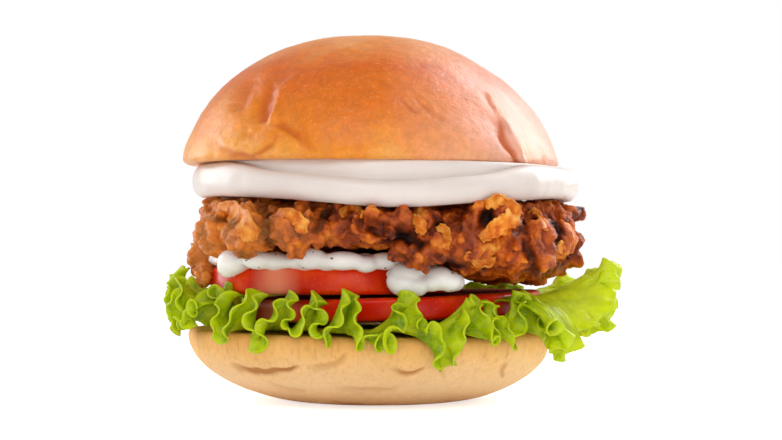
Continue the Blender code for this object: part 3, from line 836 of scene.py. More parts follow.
def melted(name, balls, voxel, smoothing, material):
    """One closed skin over (centre, radii) balls in mm."""
    shape = bmesh.new()
    add_balls(shape, balls)
    draft = mesh_object(name, shape)
    melt(draft, voxel, smoothing)
    return settle(draft, material)


herb_sauce = emulsion_material("wet herb sauce", "#FDFAF6", "#F8F3EC", 0.2, 1.2)
upper_low, upper_high = node_box("tomato_slice_upper")
UPPER_CENTRE = ((upper_low + upper_high) / 2.0).to_2d()
UPPER_TOP = upper_high.z
UPPER_RADIUS = 34.5


def sauce_layer_balls():
    """Lumps along the slice's edge, larger at the front left, over a flat pad in the middle."""
    draw = random.Random(5)
    pad = UPPER_TOP + 1.9
    balls = [((UPPER_CENTRE.x, UPPER_CENTRE.y, pad), (UPPER_RADIUS - 2.2, UPPER_RADIUS - 2.2, 1.7))]
    angle = -180.0
    while angle < 180.0:
        front = lobe(angle, -112.0, 45.0)
        size = draw.uniform(1.6, 2.5) + 0.9 * front
        reach = UPPER_RADIUS - 1.2 - size * 0.55 + draw.uniform(-0.5, 0.5) + 0.6 * front
        place = round_point(UPPER_CENTRE, reach, angle, UPPER_TOP + draw.uniform(1.3, 2.1))
        balls.append((place, (size * 1.15, size * 1.15, size * 0.82)))
        angle += draw.uniform(4.0, 7.5)
    return balls


SAUCE_LOBE = (
    ((-37.0, -31.0, 38.6), (4.4, 4.4, 3.5)), ((-38.2, -30.4, 37.0), (3.2, 3.2, 2.7)),
    ((-30.0, -35.6, 39.0), (4.6, 3.2, 2.5)), ((-16.0, -40.0, 39.4), (4.2, 2.6, 2.9)),
    ((-8.0, -40.6, 38.9), (6.0, 2.4, 2.6)), ((3.0, -38.6, 38.8), (5.0, 2.6, 2.4)), ((-2.0, -40.0, 38.0),
     (3.4, 2.4, 2.3)),
)
sauce_layer = melted("herb_sauce_spread", sauce_layer_balls() + list(SAUCE_LOBE), 0.55, 6, herb_sauce)
finish_piece(sauce_layer, "herb_sauce_layer")

# %% [markdown]
# ## The dollop
#
# The dollop ran down over the front of the lower slice: a tall lobe at the left with a small hollow in it,
# and a lower one at the right, with a soft waist between them.

# %% The dollop
DOLLOP_BALLS = (
    ((8.6, -41.6, 35.2), (4.5, 3.6, 3.5)), ((8.0, -42.4, 32.8), (4.3, 3.4, 3.2)), ((11.2, -42.0, 32.6),
     (3.2, 3.2, 2.9)),
    ((5.8, -42.0, 33.6), (2.6, 2.8, 2.9)), ((11.0, -40.8, 36.2), (3.2, 3.0, 2.2)),
    ((17.0, -42.0, 34.4), (3.8, 3.4, 3.2)), ((19.6, -41.8, 33.6), (3.4, 3.0, 2.8)), ((15.0, -42.2, 33.4),
     (3.0, 3.0, 2.5)),
    ((21.2, -40.8, 33.4), (2.4, 2.4, 2.4)), ((12.0, -38.0, 35.4), (9.0, 5.0, 2.6)),
)
dollop = melted("herb_sauce_dollop_lobes", DOLLOP_BALLS, 0.4, 5, herb_sauce)
finish_piece(dollop, "herb_sauce_dollop")

# %% [markdown]
# ## Fried batter, part one: lumps
#
# A fried fillet in thick batter is a heap of knobs: flour and buttermilk clump on the meat, and each clump
# swells in the oil. Geometry Nodes suit this, because the knobs follow a surface. The plain solid of the
# fillet is copied and its loose triangles are merged. The node tree then scatters points over its side,
# puts a flattened ball of random size on each, and a voxel remesh melts the balls and the fillet into one
# skin.

# %% A tree that puts knobs on a surface


def new_node_group(name, inputs):
    """An empty geometry tree with named inputs and a material. Returns it, its input and its output node."""
    tree = bpy.data.node_groups.new(name, "GeometryNodeTree")
    tree.interface.new_socket("Geometry", in_out="OUTPUT", socket_type="NodeSocketGeometry")
    tree.interface.new_socket("Geometry", in_out="INPUT", socket_type="NodeSocketGeometry")
    for label, value in inputs.items():
        kind = "Float" if isinstance(value, float) else "Int"
        socket = tree.interface.new_socket(label, in_out="INPUT", socket_type="NodeSocket" + kind)
        socket.default_value = value
    tree.interface.new_socket("Material", in_out="INPUT", socket_type="NodeSocketMaterial")
    return tree, tree.nodes.new("NodeGroupInput"), tree.nodes.new("NodeGroupOutput")


def run_tree(draft, name, tree, values):
    """Adds a geometry modifier, with its inputs set by their identifiers, which names alone don't reach."""
    modifier = draft.modifiers.new(name, "NODES")
    modifier.node_group = tree
    for item in tree.interface.items_tree:
        if item.in_out == "INPUT" and item.name in values:
            modifier[item.identifier] = values[item.name]


def knob_tree():
    tree, given, result = new_node_group("batter knobs", {"Spacing": 3.0 * MM, "Smallest": 1.5 * MM,
            "Largest": 4.0 * MM, "Belt Radius": 40.0 * MM, "Seed": 1})
    where = add(tree, "GeometryNodeInputPosition")
    flat = add(tree, "ShaderNodeVectorMath", (where, (1.0, 1.0, 0.0)), operation="MULTIPLY")
    reach = add(tree, "ShaderNodeVectorMath", (flat,), operation="LENGTH")
    belt = add(tree, "FunctionNodeCompare", {0: reach.outputs["Value"], 1: given.outputs["Belt Radius"]},
            operation="GREATER_THAN", data_type="FLOAT")
    clump = add(tree, "ShaderNodeTexNoise", {"Vector": where, "Scale": 1.0 / (11.0 * MM), "Detail": 1.0})
    clumped = add(tree, "FunctionNodeCompare", {0: clump, 1: 0.5},
            operation="GREATER_THAN", data_type="FLOAT")
    chosen = add(tree, "FunctionNodeBooleanMath", {0: belt, 1: clumped}, operation="AND")
    spots = add(tree, "GeometryNodeDistributePointsOnFaces", {"Mesh": given.outputs["Geometry"],
            "Selection": chosen, "Distance Min": given.outputs["Spacing"],
            "Density Max": 2.0e6, "Seed": given.outputs["Seed"]}, distribute_method="POISSON")
    ball = add(tree, "GeometryNodeMeshIcoSphere", {"Radius": 1.0, "Subdivisions": 2})
    size = add(tree, "FunctionNodeRandomValue", {2: given.outputs["Smallest"], 3: given.outputs["Largest"],
            "Seed": given.outputs["Seed"]}, data_type="FLOAT")
    squash = add(tree, "FunctionNodeRandomValue", {0: (0.75, 0.75, 0.55), 1: (1.25, 1.25, 0.9), "Seed": 7},
            data_type="FLOAT_VECTOR")
    radii = add(tree, "ShaderNodeVectorMath", {0: squash, "Scale": size}, operation="SCALE")
    turn = add(tree, "FunctionNodeRandomValue", {0: (-3.0, -3.0, -3.0), 1: (3.0, 3.0, 3.0), "Seed": 3},
            data_type="FLOAT_VECTOR")
    knobs = add(tree, "GeometryNodeInstanceOnPoints", {"Points": spots, "Instance": ball, "Scale": radii,
            "Rotation": turn})
    real = add(tree, "GeometryNodeRealizeInstances", {0: knobs})
    joined = add(tree, "GeometryNodeJoinGeometry")
    tree.links.new(real.outputs[0], joined.inputs[0])
    tree.links.new(given.outputs["Geometry"], joined.inputs[0])
    coated = add(tree, "GeometryNodeSetMaterial", {"Geometry": joined, "Material": given.outputs["Material"]})
    fill(result, (coated,))
    return tree


def copy_of_node(name, node):
    """A merged copy of a plain solid's mesh, as a piece of its own."""
    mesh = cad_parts[node].data.copy()
    shape = bmesh.new()
    shape.from_mesh(mesh)
    bmesh.ops.remove_doubles(shape, verts=shape.verts, dist=0.002 * MM)
    shape.to_mesh(mesh)
    shape.free()
    return new_object(name, mesh)


KNOBS = knob_tree()
print("knob tree nodes:", len(KNOBS.nodes))

# %% [markdown]
# ## Fried batter, part two: crags
#
# Between and on the knobs the crust is rough at every scale down to flour grains. A second tree moves each
# point along its normal by layered patterns: rounded cells about 7 mm and 2.6 mm across, whose borders are
# the creases, ridged folds, and grain about 1 mm across. Warping the coordinates first keeps the cells from
# looking like a net. The height of every point is stored in an attribute named crag, because the finish
# needs it: the creases are darkened, partly as the batter's own deeper browning and partly as painted shade,
# and the tips stay golden.

# %% A tree that roughens a surface


def crag_tree():
    tree, given, result = new_node_group("batter crags", {"Large Cell": 5.0 * MM, "Small Cell": 2.0 * MM,
            "Large Relief": 1.6 * MM, "Small Relief": 0.7 * MM, "Ridge Relief": 1.0 * MM,
            "Grain Relief": 0.35 * MM})
    where = add(tree, "GeometryNodeInputPosition")
    warp = add(tree, "ShaderNodeTexNoise", {"Vector": where, "Scale": 1.0 / (6.0 * MM), "Detail": 2.0})
    centred = add(tree, "ShaderNodeVectorMath", (warp.outputs["Color"], (0.5, 0.5, 0.5)),
            operation="SUBTRACT")
    shift = add(tree, "ShaderNodeVectorMath", {0: centred, "Scale": 10.0 * MM}, operation="SCALE")
    bent = add(tree, "ShaderNodeVectorMath", (where, shift), operation="ADD")
    heights = []
    for cell, relief in (("Large Cell", "Large Relief"), ("Small Cell", "Small Relief")):
        scale = add(tree, "ShaderNodeMath", (1.0, given.outputs[cell]), operation="DIVIDE")
        knob = add(tree, "ShaderNodeTexVoronoi", {"Vector": bent, "Scale": scale, "Smoothness": 0.25},
                feature="SMOOTH_F1")
        dome = add(tree, "ShaderNodeMath", (0.45, knob), operation="SUBTRACT")
        part = add(tree, "ShaderNodeMath", (dome, given.outputs[relief]), operation="MULTIPLY")
        heights.append(part)
    rough = add(tree, "ShaderNodeTexNoise", {"Vector": bent, "Scale": 1.0 / (1.3 * MM),
            "Detail": 4.0, "Roughness": 0.6})
    rough_mid = add(tree, "ShaderNodeMath", (rough, 0.5), operation="SUBTRACT")
    grit = add(tree, "ShaderNodeMath", (rough_mid, given.outputs["Grain Relief"]), operation="MULTIPLY")
    folds = add(tree, "ShaderNodeTexNoise", {"Vector": bent, "Scale": 1.0 / (5.5 * MM),
            "Detail": 3.0, "Roughness": 0.55, "Offset": 0.9, "Gain": 1.6},
            noise_type="RIDGED_MULTIFRACTAL", normalize=False)
    folds_mid = add(tree, "ShaderNodeMath", (folds, 0.9), operation="SUBTRACT")
    crests = add(tree, "ShaderNodeMath", (folds_mid, given.outputs["Ridge Relief"]), operation="MULTIPLY")
    coarse = add(tree, "ShaderNodeMath", (heights[0], heights[1]), operation="ADD")
    ridged = add(tree, "ShaderNodeMath", (coarse, crests), operation="ADD")
    total = add(tree, "ShaderNodeMath", (ridged, grit), operation="ADD")
    in_mm = add(tree, "ShaderNodeMath", (total, 1.0 / MM), operation="MULTIPLY")
    kept = add(tree, "GeometryNodeStoreNamedAttribute", {"Geometry": given.outputs["Geometry"],
            "Name": "crag", "Value": in_mm}, data_type="FLOAT", domain="POINT")
    normal = add(tree, "GeometryNodeInputNormal")
    push = add(tree, "ShaderNodeVectorMath", {0: normal, "Scale": total}, operation="SCALE")
    moved = add(tree, "GeometryNodeSetPosition", {"Geometry": kept, "Offset": push})
    real = add(tree, "GeometryNodeRealizeInstances", {0: moved})
    coated = add(tree, "GeometryNodeSetMaterial", {"Geometry": real, "Material": given.outputs["Material"]})
    fill(result, (coated,))
    return tree


CRAGS = crag_tree()
print("crag tree nodes:", len(CRAGS.nodes))

# %% [markdown]
# ## Batter's colours
#
# Fried batter runs from black-brown in its creases, through red-brown, to gold on its tips; the black-brown
# in the creases is partly its own deeper browning and partly painted shade. The crag attribute gives that
# range, noise about a knob across adds red-brown patches, and the colour is paler towards the left side. A
# film of oil gives small glints, so the roughness is uneven.

# %% The batter's finish


def batter_material():
    made, tree, shader, place = new_material("deep fried batter")
    crag = add(tree, "ShaderNodeAttribute", attribute_name="crag")
    patch, grain, hue = (
        add(tree, "ShaderNodeTexNoise", {
            "Vector": place, "Scale": 1.0 / size, "Detail": detail, "Roughness": rough})
        for size, detail, rough in ((7.0, 3.0, 0.6), (0.9, 4.0, 0.65), (12.0, 2.0, 0.5)))
    swing = add(tree, "ShaderNodeMath", (patch, 1.0, -0.5), operation="MULTIPLY_ADD")
    gritty = add(tree, "ShaderNodeMath", (grain, 1.3, -0.65), operation="MULTIPLY_ADD")
    jitter = add(tree, "ShaderNodeMath", (swing, gritty), operation="ADD")
    height = add(tree, "ShaderNodeMath", (crag.outputs["Fac"], jitter), operation="ADD")
    level = add(tree, "ShaderNodeMapRange", (height, -1.7, 1.3))
    # The ramp's black-brown low end is partly the batter's deeper browning and partly painted shade in its
    # crevices.
    browning_and_crevice_shade = add(tree, "ShaderNodeValToRGB", {"Fac": level}, [(0.0, "#1C0500"), (0.2, "#561A00"),
            (0.4, "#943800"), (0.6, "#CC5C00"), (0.8, "#EE8A1C"), (1.0, "#FCB44C")])
    warm = add(tree, "ShaderNodeMapRange", (hue, 0.42, 0.62, 0.0, 0.35))
    toned = add(tree, "ShaderNodeMix", {0: warm, 6: browning_and_crevice_shade, 7: "#A84A1C"}, data_type="RGBA")
    axes = add(tree, "ShaderNodeSeparateXYZ", (place,))
    # The colour turns paler towards the left side.
    paler_left = add(tree, "ShaderNodeMapRange", (axes.outputs["X"], -8.0, -42.0, 0.0, 0.46))
    pale = add(tree, "ShaderNodeMix", {0: paler_left, 6: toned, 7: "#F0983A"}, data_type="RGBA")
    relief = add(tree, "ShaderNodeBump", {"Height": grain, "Strength": 1.0, "Distance": 0.5 * MM})
    oil = add(tree, "ShaderNodeMapRange", (patch, 0.35, 0.65, 0.3, 0.6))
    fill(shader, {"Base Color": pale, "Normal": relief, "Roughness": oil, "IOR": 1.4})
    return made


batter = batter_material()
print("batter:", batter.name)

# %% [markdown]
# ## The fillet
#
# The fillet itself: knobs, one skin, crags. A few larger lumps are placed first, where this
# burger's fillet bulges: the thick end at the right, and the corner that hangs at the left.

# %% The fillet
# Each bulge is a ball: its centre and its radii in mm.
CHICKEN_BULGES = (
    ((36.0, -38.0, 41.6), (11.0, 9.0, 6.5)), ((45.0, -28.0, 44.6), (8.0, 9.0, 6.0)), ((24.0, -45.0, 44.0),
     (8.0, 6.5, 6.5)),
    ((30.0, -44.5, 50.0), (8.0, 7.0, 4.5)), ((49.0, -14.0, 46.0), (6.0, 8.0, 5.0)), ((53.5, -10.0, 52.0),
     (3.6, 5.0, 2.6)),
    ((-41.0, -26.0, 46.0), (7.0, 7.0, 6.0)), ((-46.6, -8.0, 38.5), (3.2, 6.0, 7.0)), ((-46.0, -14.0, 34.6),
     (2.2, 3.6, 3.2)),
    ((-20.0, -48.0, 47.0), (9.0, 5.5, 4.8)), ((-32.0, -42.0, 46.0), (7.5, 6.0, 5.5)), ((2.0, -51.0, 47.6),
     (9.0, 5.0, 4.4)),
    ((12.0, -49.0, 42.0), (8.0, 5.5, 4.0)), ((31.0, -28.0, 39.2), (15.0, 15.0, 5.0)), ((41.0, -14.0, 42.0),
     (9.0, 12.0, 4.6)),
    ((33.0, 2.0, 36.9), (9.5, 20.0, 4.8)), ((43.0, 6.0, 36.6), (7.0, 14.0, 4.8)),
)
CORE_SHARE, CORE_SHIFT = 0.93, 0.8
CHICKEN_HOLLOWS = (
    ((2.0, -50.0, 46.6), (6.5, 2.0), 5.0, -18.0), ((10.0, -50.0, 44.4), (4.0, 1.5), 4.0, -30.0),
    ((28.6, -48.0, 49.6), (1.7, 2.7), 5.0, -20.0), ((-13.0, -50.0, 49.6), (4.0, 1.0), 3.0, 60.0),
    ((-27.0, -46.0, 47.0), (1.0, 4.5), 2.4, 12.0), ((39.0, -40.0, 44.0), (1.3, 6.5), 3.0, 14.0),
    ((16.5, -48.0, 49.0), (1.2, 3.6), 3.0, 30.0), ((48.0, -32.0, 46.0), (1.3, 5.0), 3.0, 8.0),
    ((-38.0, -38.0, 49.0), (5.0, 1.0), 2.4, -16.0), ((20.0, -48.0, 38.5), (5.0, 1.0), 2.4, -24.0),
)


def press_hollows(mesh):
    """Pushes the surface back into each hollow: (centre, half sizes, depth, turn), seen from the front."""
    crags = mesh.attributes["crag"].data
    for centre, (wide, tall), depth, turn in CHICKEN_HOLLOWS:
        cosine, sine = math.cos(math.radians(turn)), math.sin(math.radians(turn))
        for vertex in mesh.vertices:
            gap = vertex.co / MM - Vector(centre)
            if abs(gap.x) > 14.0 or vertex.co.y > -20.0 * MM:
                continue
            along, up = gap.x * cosine + gap.z * sine, gap.z * cosine - gap.x * sine
            along += 0.9 * noise.noise(vertex.co / MM / 2.2)
            up += 0.9 * noise.noise(vertex.co / MM / 2.2 + Vector((7.0, 0.0, 0.0)))
            share = math.exp(-((along / wide) ** 2 + (up / tall) ** 2) ** 1.5)
            if share > 0.02:
                vertex.co.y += depth * share * MM
                # Lowering crag also darkens the hollow's colour: painted shade.
                crags[vertex.index].value -= 1.5 * share


def build_fillet():
    """The plain solid, a little smaller, with its bulges, knobs, crags and hollows."""
    draft = copy_of_node("fried_chicken", "chicken_fillet")
    shape = bmesh.new()
    shape.from_mesh(draft.data)
    for vertex in shape.verts:
        vertex.co.x = vertex.co.x * CORE_SHARE + CORE_SHIFT * MM
        vertex.co.y *= CORE_SHARE
    add_balls(shape, CHICKEN_BULGES)
    shape.to_mesh(draft.data)
    shape.free()
    run_tree(draft, "knobs", KNOBS, {"Spacing": 3.6 * MM, "Smallest": 0.9 * MM, "Largest": 3.0 * MM,
            "Belt Radius": 43.0 * MM, "Seed": 4, "Material": batter})
    melt(draft, 0.62, 2)
    run_tree(draft, "crags", CRAGS, {"Large Cell": 7.0 * MM, "Small Cell": 2.6 * MM, "Large Relief": 2.1 * MM,
            "Small Relief": 1.3 * MM, "Ridge Relief": 0.5 * MM, "Grain Relief": 0.9 * MM, "Material": batter})
    settle(draft, batter)
    press_hollows(draft.data)
    return draft


fillet = build_fillet()
finish_piece(fillet, "chicken_fillet")

# %% [markdown]
# ## Herb flecks
#
# The herbs in the sauce are chopped chives and parsley: flat dark green scraps, under a millimetre long,
# lying in the sauce's surface. A third tree scatters them over a sauce piece, turned to its surface, and
# drops the sauce itself, so that the flecks are a piece of their own.

# %% Flecks


def fleck_tree():
    tree, given, result = new_node_group("herb flecks", {"Per Square Metre": 9000.0, "Length": 0.6 * MM,
            "Seed": 1})
    spots = add(tree, "GeometryNodeDistributePointsOnFaces", {"Mesh": given.outputs["Geometry"],
            "Density": given.outputs["Per Square Metre"], "Seed": given.outputs["Seed"]})
    scrap = add(tree, "GeometryNodeMeshIcoSphere", {"Radius": 1.0, "Subdivisions": 2})
    shape = add(tree, "FunctionNodeRandomValue", {0: (0.3, 0.2, 0.12), 1: (0.8, 0.45, 0.2), "Seed": 2},
            data_type="FLOAT_VECTOR")
    size = add(tree, "ShaderNodeVectorMath", {0: shape, "Scale": given.outputs["Length"]}, operation="SCALE")
    laid = add(tree, "GeometryNodeInstanceOnPoints", {"Points": spots, "Instance": scrap,
            "Rotation": spots.outputs["Rotation"], "Scale": size})
    real = add(tree, "GeometryNodeRealizeInstances", {0: laid})
    green = add(tree, "GeometryNodeSetMaterial", {"Geometry": real, "Material": given.outputs["Material"]})
    fill(result, (green,))
    return tree


def herb_material():
    made, tree, shader, place = new_material("chopped green herb")
    tint = add(tree, "ShaderNodeTexNoise", {"Vector": place, "Scale": 1.0 / 3.0, "Detail": 1.0})
    tone = add(tree, "ShaderNodeMix", {0: tint, 6: "#46562A", 7: "#84904E"}, data_type="RGBA")
    fill(shader, {"Base Color": tone, "Roughness": 0.4})
    return made


FLECKS = fleck_tree()
herb = herb_material()
for fleck_name, sauce_piece, fleck_node in (("herb_flecks_spread", sauce_layer, "herb_sauce_layer"),
                                            ("herb_flecks_dollop", dollop, "herb_sauce_dollop")):
    draft = new_object(fleck_name, sauce_piece.data.copy())
    run_tree(draft, "flecks", FLECKS, {"Per Square Metre": 26000.0, "Length": 0.62 * MM, "Seed": 3,
            "Material": herb})
    finish_piece(settle(draft, herb), fleck_node)

# %% [markdown]
# ## Curled flakes of batter
#
# Where batter ran thin it fried into curled, brighter flakes that stand off the fillet. The largest is at
# the front right, bent round a dark hole. Each flake is a strip along a short path of (x, z) points in mm,
# with a width: the path is laid on the fillet by a ray from the front or the back, the strip's edges are
# ragged and curl outwards, and its ends are drawn in.

# %% Flakes
FLAKES = (
    (((27.8, 53.4), (32.1, 54.0), (35.9, 51.4), (33.3, 48.6), (30.0, 46.6), (26.5, 44.3)), 4.6, FRONT),
    (((16.2, 48.4), (18.3, 45.6), (17.1, 41.7)), 3.6, FRONT), (((-43.0, 52.4), (-37.0, 52.0), (-32.0, 48.0),
     (-30.4, 43.4)), 6.0, FRONT),
    (((-9.0, 50.8), (-5.4, 52.4), (-2.2, 50.4)), 3.0, FRONT),
    (((-22.0, 51.8), (-18.0, 49.0), (-17.4, 45.4)), 3.4, FRONT), (((9.6, 50.4), (12.4, 48.0), (11.4, 45.6)),
     3.0, FRONT),
    (((40.6, 52.6), (43.8, 50.0), (43.6, 46.6)), 3.0, FRONT), (((22.4, 40.6), (27.0, 38.6), (31.6, 39.4)),
     3.0, FRONT),
    (((47.6, 43.6), (49.6, 41.0)), 3.0, FRONT),
    (((24.0, 52.0), (29.0, 50.0), (31.0, 45.0)), 4.4, BACK), (((-24.0, 46.0), (-18.0, 50.0), (-12.0, 48.6)),
     4.0, BACK),
    (((-40.0, 50.0), (-38.0, 45.0)), 3.6, BACK), (((2.0, 46.0), (7.0, 44.0)), 3.4, BACK),
)


FLAKE_THICK = 0.55


def thicken(draft, thickness):
    """Rounds a sheet and gives it a thickness in mm."""
    rounded = draft.modifiers.new("rounded", "SUBSURF")
    rounded.levels = 1
    rounded.render_levels = 1
    wall = draft.modifiers.new("thickness", "SOLIDIFY")
    wall.thickness = thickness * MM
    wall.offset = 0.0


def lay_on(tree, x, z, side):
    """The place where a ray from the front or the back meets the fillet, in mm."""
    start = Vector((x, side * 90.0, z)) * MM
    place = tree.ray_cast(start, Vector((0.0, -side, 0.0)))[0]
    return place / MM if place else Vector((x, side * 40.0, z))


def build_flakes(fillet, material):
    surface = BVHTree.FromPolygons([vertex.co for vertex in fillet.data.vertices],
                                   [face.vertices[:] for face in fillet.data.polygons])
    shape = bmesh.new()
    for index, (path, width, side) in enumerate(FLAKES):
        count = 9 * (len(path) - 1)
        centres = []
        for step in range(count + 1):
            run = step / count * (len(path) - 1)
            before = min(len(path) - 2, int(run))
            x, z = (mix(path[before][part], path[before + 1][part], run - before) for part in (0, 1))
            centres.append(lay_on(surface, x, z, side))
        for turn in range(6):
            ends = [centres[0]] + centres[:-1], centres[1:] + [centres[-1]]
            centres = [(low + point + high) / 3.0 for low, point, high in zip(ends[0], centres, ends[1])]
        grid = []
        for step, centre in enumerate(centres):
            ahead = (centres[min(count, step + 1)] - centres[max(0, step - 1)]).normalized()
            outward = Vector((0.35 * centre.x / 50.0, side, 0.0)).normalized()
            across = ahead.cross(outward).normalized()
            swell = math.sin(math.pi * (0.08 + 0.84 * step / count)) ** 0.6
            line = []
            for part in range(11):
                share = part / 5.0 - 1.0
                seed = Vector((0.9 * step, 2.0 * share, 9.0 * index)) * 0.45
                reach = 0.5 * width * share * swell * (1.0 + 0.7 * noise.noise(seed))
                lift = 0.5 + 0.34 * width * share * share * (0.6 + noise.noise(seed + Vector((0.0, 0.0,
                    4.0))))
                line.append(shape.verts.new((centre + across * reach + outward * lift) * MM))
            grid.append(line)
        for low, high in zip(grid, grid[1:]):
            for part in range(10):
                shape.faces.new((low[part], low[part + 1], high[part + 1], high[part]))
    bmesh.ops.recalc_face_normals(shape, faces=shape.faces)
    draft = mesh_object("batter_flakes", shape)
    thicken(draft, FLAKE_THICK)
    settle(draft, material)
    for vertex in draft.data.vertices:
        vertex.co += 0.22 * MM * noise.noise_vector(vertex.co / MM / 1.1)
    height = draft.data.attributes.new("crag", "FLOAT", "POINT")
    height.data.foreach_set("value",
        [0.8 + 1.1 * noise.noise(vertex.co / MM / 1.8) for vertex in draft.data.vertices])
    return draft


flakes = build_flakes(fillet, batter)
finish_piece(flakes, "chicken_fillet")

# %% [markdown]
# ## Curly lettuce: why its margin ruffles
#
# A curly leaf grows faster at its margin than at its middle, so the margin ends up about three times as
# long as the line it has to follow, and it has to buckle. A drawn wave never looks like that, so here the
# leaf is grown instead. It is a grid of springs whose rest lengths are the leaf's own grown lengths, long
# at the margin and short at the fold. It starts as a simple wave through the margin's highest and lowest
# places, given as (angle, height) pairs, and then the springs pull it, step by step, into the ruffles that
# those lengths ask for.

# %% The start of a leaf
LEAF_HEIGHT = 20.9
LEAF_FOLD = 45.0
LEAF_ROWS = 17
LEAF_CEILING = 22.4


def heel_edges(angles, heights):
    """The heel's radius from the burger's axis, for arrays of angles in degrees and of heights."""
    share = np.clip(heights / HEEL_BELLY, 0.0, 1.0)
    side = HEEL_FLAT + (HEEL_RADIUS - HEEL_FLAT) * (1.0 - (1.0 - share) ** 2) ** 0.6
    centre = HEEL_CENTRE[0] + HEEL_SLIDE * HEEL_BELLY * (1.0 - share)
    return side + centre * np.cos(np.radians(angles))


def leaf_start(extremes, columns, width, fold_height, tuck, seed):
    """A grid of points, rows by columns, that runs from the fold out to a wavy margin."""
    known = np.array(extremes)
    stops = np.linspace(0.0, len(extremes) - 1.0, columns)
    before = np.minimum(stops.astype(int), len(extremes) - 2)
    share = stops - before
    ease = 0.5 - 0.5 * np.cos(np.pi * share)
    angle = known[before, 0] + (known[before + 1, 0] - known[before, 0]) * share
    height = known[before, 1] + (known[before + 1, 1] - known[before, 1]) * ease
    even_angle = np.linspace(known[0, 0], known[-1, 0], columns)
    grid = np.zeros((LEAF_ROWS, columns, 3))
    for row in range(LEAF_ROWS):
        out = row / (LEAF_ROWS - 1.0)
        turn = np.radians(even_angle + (angle - even_angle) * out)
        rise = (height - fold_height) * out ** np.where(height > fold_height, 1.2, 2.6)
        flat = np.sqrt(np.maximum((width * out) ** 2 - rise ** 2, (0.45 * width * out) ** 2))
        radius = LEAF_FOLD + flat - tuck * out * np.clip((height - 22.0) / 9.0, 0.0, 1.0)
        grid[row] = np.stack([radius * np.cos(turn), radius * np.sin(turn), fold_height + rise], axis=1)
    draw = np.random.default_rng(seed)
    rough = np.linspace(0.0, 1.0, LEAF_ROWS)[:, None, None] * draw.normal(0.0, 0.35, (1, columns, 3))
    return grid + rough


print("leaf rows:", LEAF_ROWS)

# %% [markdown]
# ## Letting the springs settle
#
# Each pass pulls every pair of neighbours towards its rest length, by sharing the difference between the
# two. Neighbours come in sets that share no point, so a whole set moves at once. Pairs that lie a few
# points apart only push, which is what stiffness against bending means. Then the leaf sinks a little under
# its weight and is kept outside the bread and the tomatoes, and a faint pull back to where it started keeps
# the large waves.

# %% Springs


def smooth_random(draw, count, grain):
    """A random value between about -1 and 1 for each of a row of points, smooth over one grain of them."""
    knots = draw.uniform(-1.0, 1.0, int(count / grain) + 3)
    places = np.arange(count) / grain
    share = places % 1.0
    before = places.astype(int)
    share = share * share * (3.0 - 2.0 * share)
    return knots[before] * (1.0 - share) + knots[before + 1] * share


def leaf_springs(columns, base, width, growth, frill, ragged, seed):
    """(first, second, rest length, give, only pushes) for each set of springs in the grid."""
    draw = np.random.default_rng(seed)
    out = np.linspace(0.0, 1.0, LEAF_ROWS)[:, None]
    patch = 1.0 + 0.5 * smooth_random(draw, columns, 26.0)[None, :]
    along = (base / (columns - 1.0) * (1.0 + growth * out ** 1.5 + frill * patch * out ** 7))[..., None]
    lobes = 1.0 + ragged * (smooth_random(draw, columns, 15.0) + 0.6 * smooth_random(draw, columns, 6.0))
    across = (width / (LEAF_ROWS - 1.0) * (1.0 + (lobes - 1.0)[None, :] * 2.0 * out[:-1]))[..., None]
    pull, skew, stiff = 0.9, 0.35, ((2, 0.12), (4, 0.05))
    sets = []
    for start in (0, 1):
        step = np.s_[:, start:columns - 1:2]
        low, high = slice(start, LEAF_ROWS - 1, 2), slice(start + 1, LEAF_ROWS, 2)
        slant = np.sqrt(across ** 2 + along[:-1] * along[1:])[start::2][:, 1:]
        sets += [(step, np.s_[:, start + 1:columns:2], along[step], pull, False),
                 (np.s_[low, :], np.s_[high, :], across[start::2], pull, False),
                 (np.s_[low, :-1], np.s_[high, 1:], slant, skew, False),
                 (np.s_[low, 1:], np.s_[high, :-1], slant, skew, False)]
    sets += [(np.s_[:, :-reach], np.s_[:, reach:], reach * along[:, reach:],
        give, True) for reach, give in stiff]
    sets += [(np.s_[:-reach, :], np.s_[reach:, :], reach * across[reach - 1:],
        give, True) for reach, give in stiff]
    return sets


def keep_out(grid):
    """Pushes points out of the heel and out of the tomatoes, by the shorter way."""
    radius = np.hypot(grid[..., 0], grid[..., 1])
    angle = np.degrees(np.arctan2(grid[..., 1], grid[..., 0]))
    edge = heel_edges(angle, grid[..., 2]) + 0.6
    up = HEEL_TOP + 0.7 - grid[..., 2]
    outward = edge - radius
    inside = (up > 0.0) & (outward > 0.0)
    grid[..., 2] += np.where(inside & (up <= outward), up, 0.0)
    scale = 1.0 + np.where(inside & (outward < up), outward / radius, 0.0)
    down = grid[..., 2] - LEAF_CEILING
    aside = LEAF_FOLD - 0.2 - radius
    under = (down > 0.0) & (aside > 0.0)
    grid[..., 2] -= np.where(under & (down <= aside), down, 0.0)
    scale += np.where(under & (aside < down), aside / radius, 0.0)
    grid[..., 0] *= scale
    grid[..., 1] *= scale


def grow_leaf(grid, springs, passes, memory, weight):
    """Lets the springs pull the grid into shape, with its fold held where it started."""
    goal = grid.copy()
    loose = np.linspace(0.0, 1.0, LEAF_ROWS)[:, None, None]
    for turn in range(passes):
        for first, second, rest, give, pushes in springs:
            gap = grid[second] - grid[first]
            stretch = 1.0 - rest / np.sqrt((gap ** 2).sum(axis=-1, keepdims=True) + 1e-9)
            shift = gap * (0.5 * give * (np.minimum(stretch, 0.0) if pushes else stretch))
            grid[first] += shift
            grid[second] -= shift
        grid[..., 2:] -= weight * loose
        grid += memory * (goal - grid)
        keep_out(grid)
        grid[0] = goal[0]
    return grid


print("leaf fold radius in mm:", LEAF_FOLD)

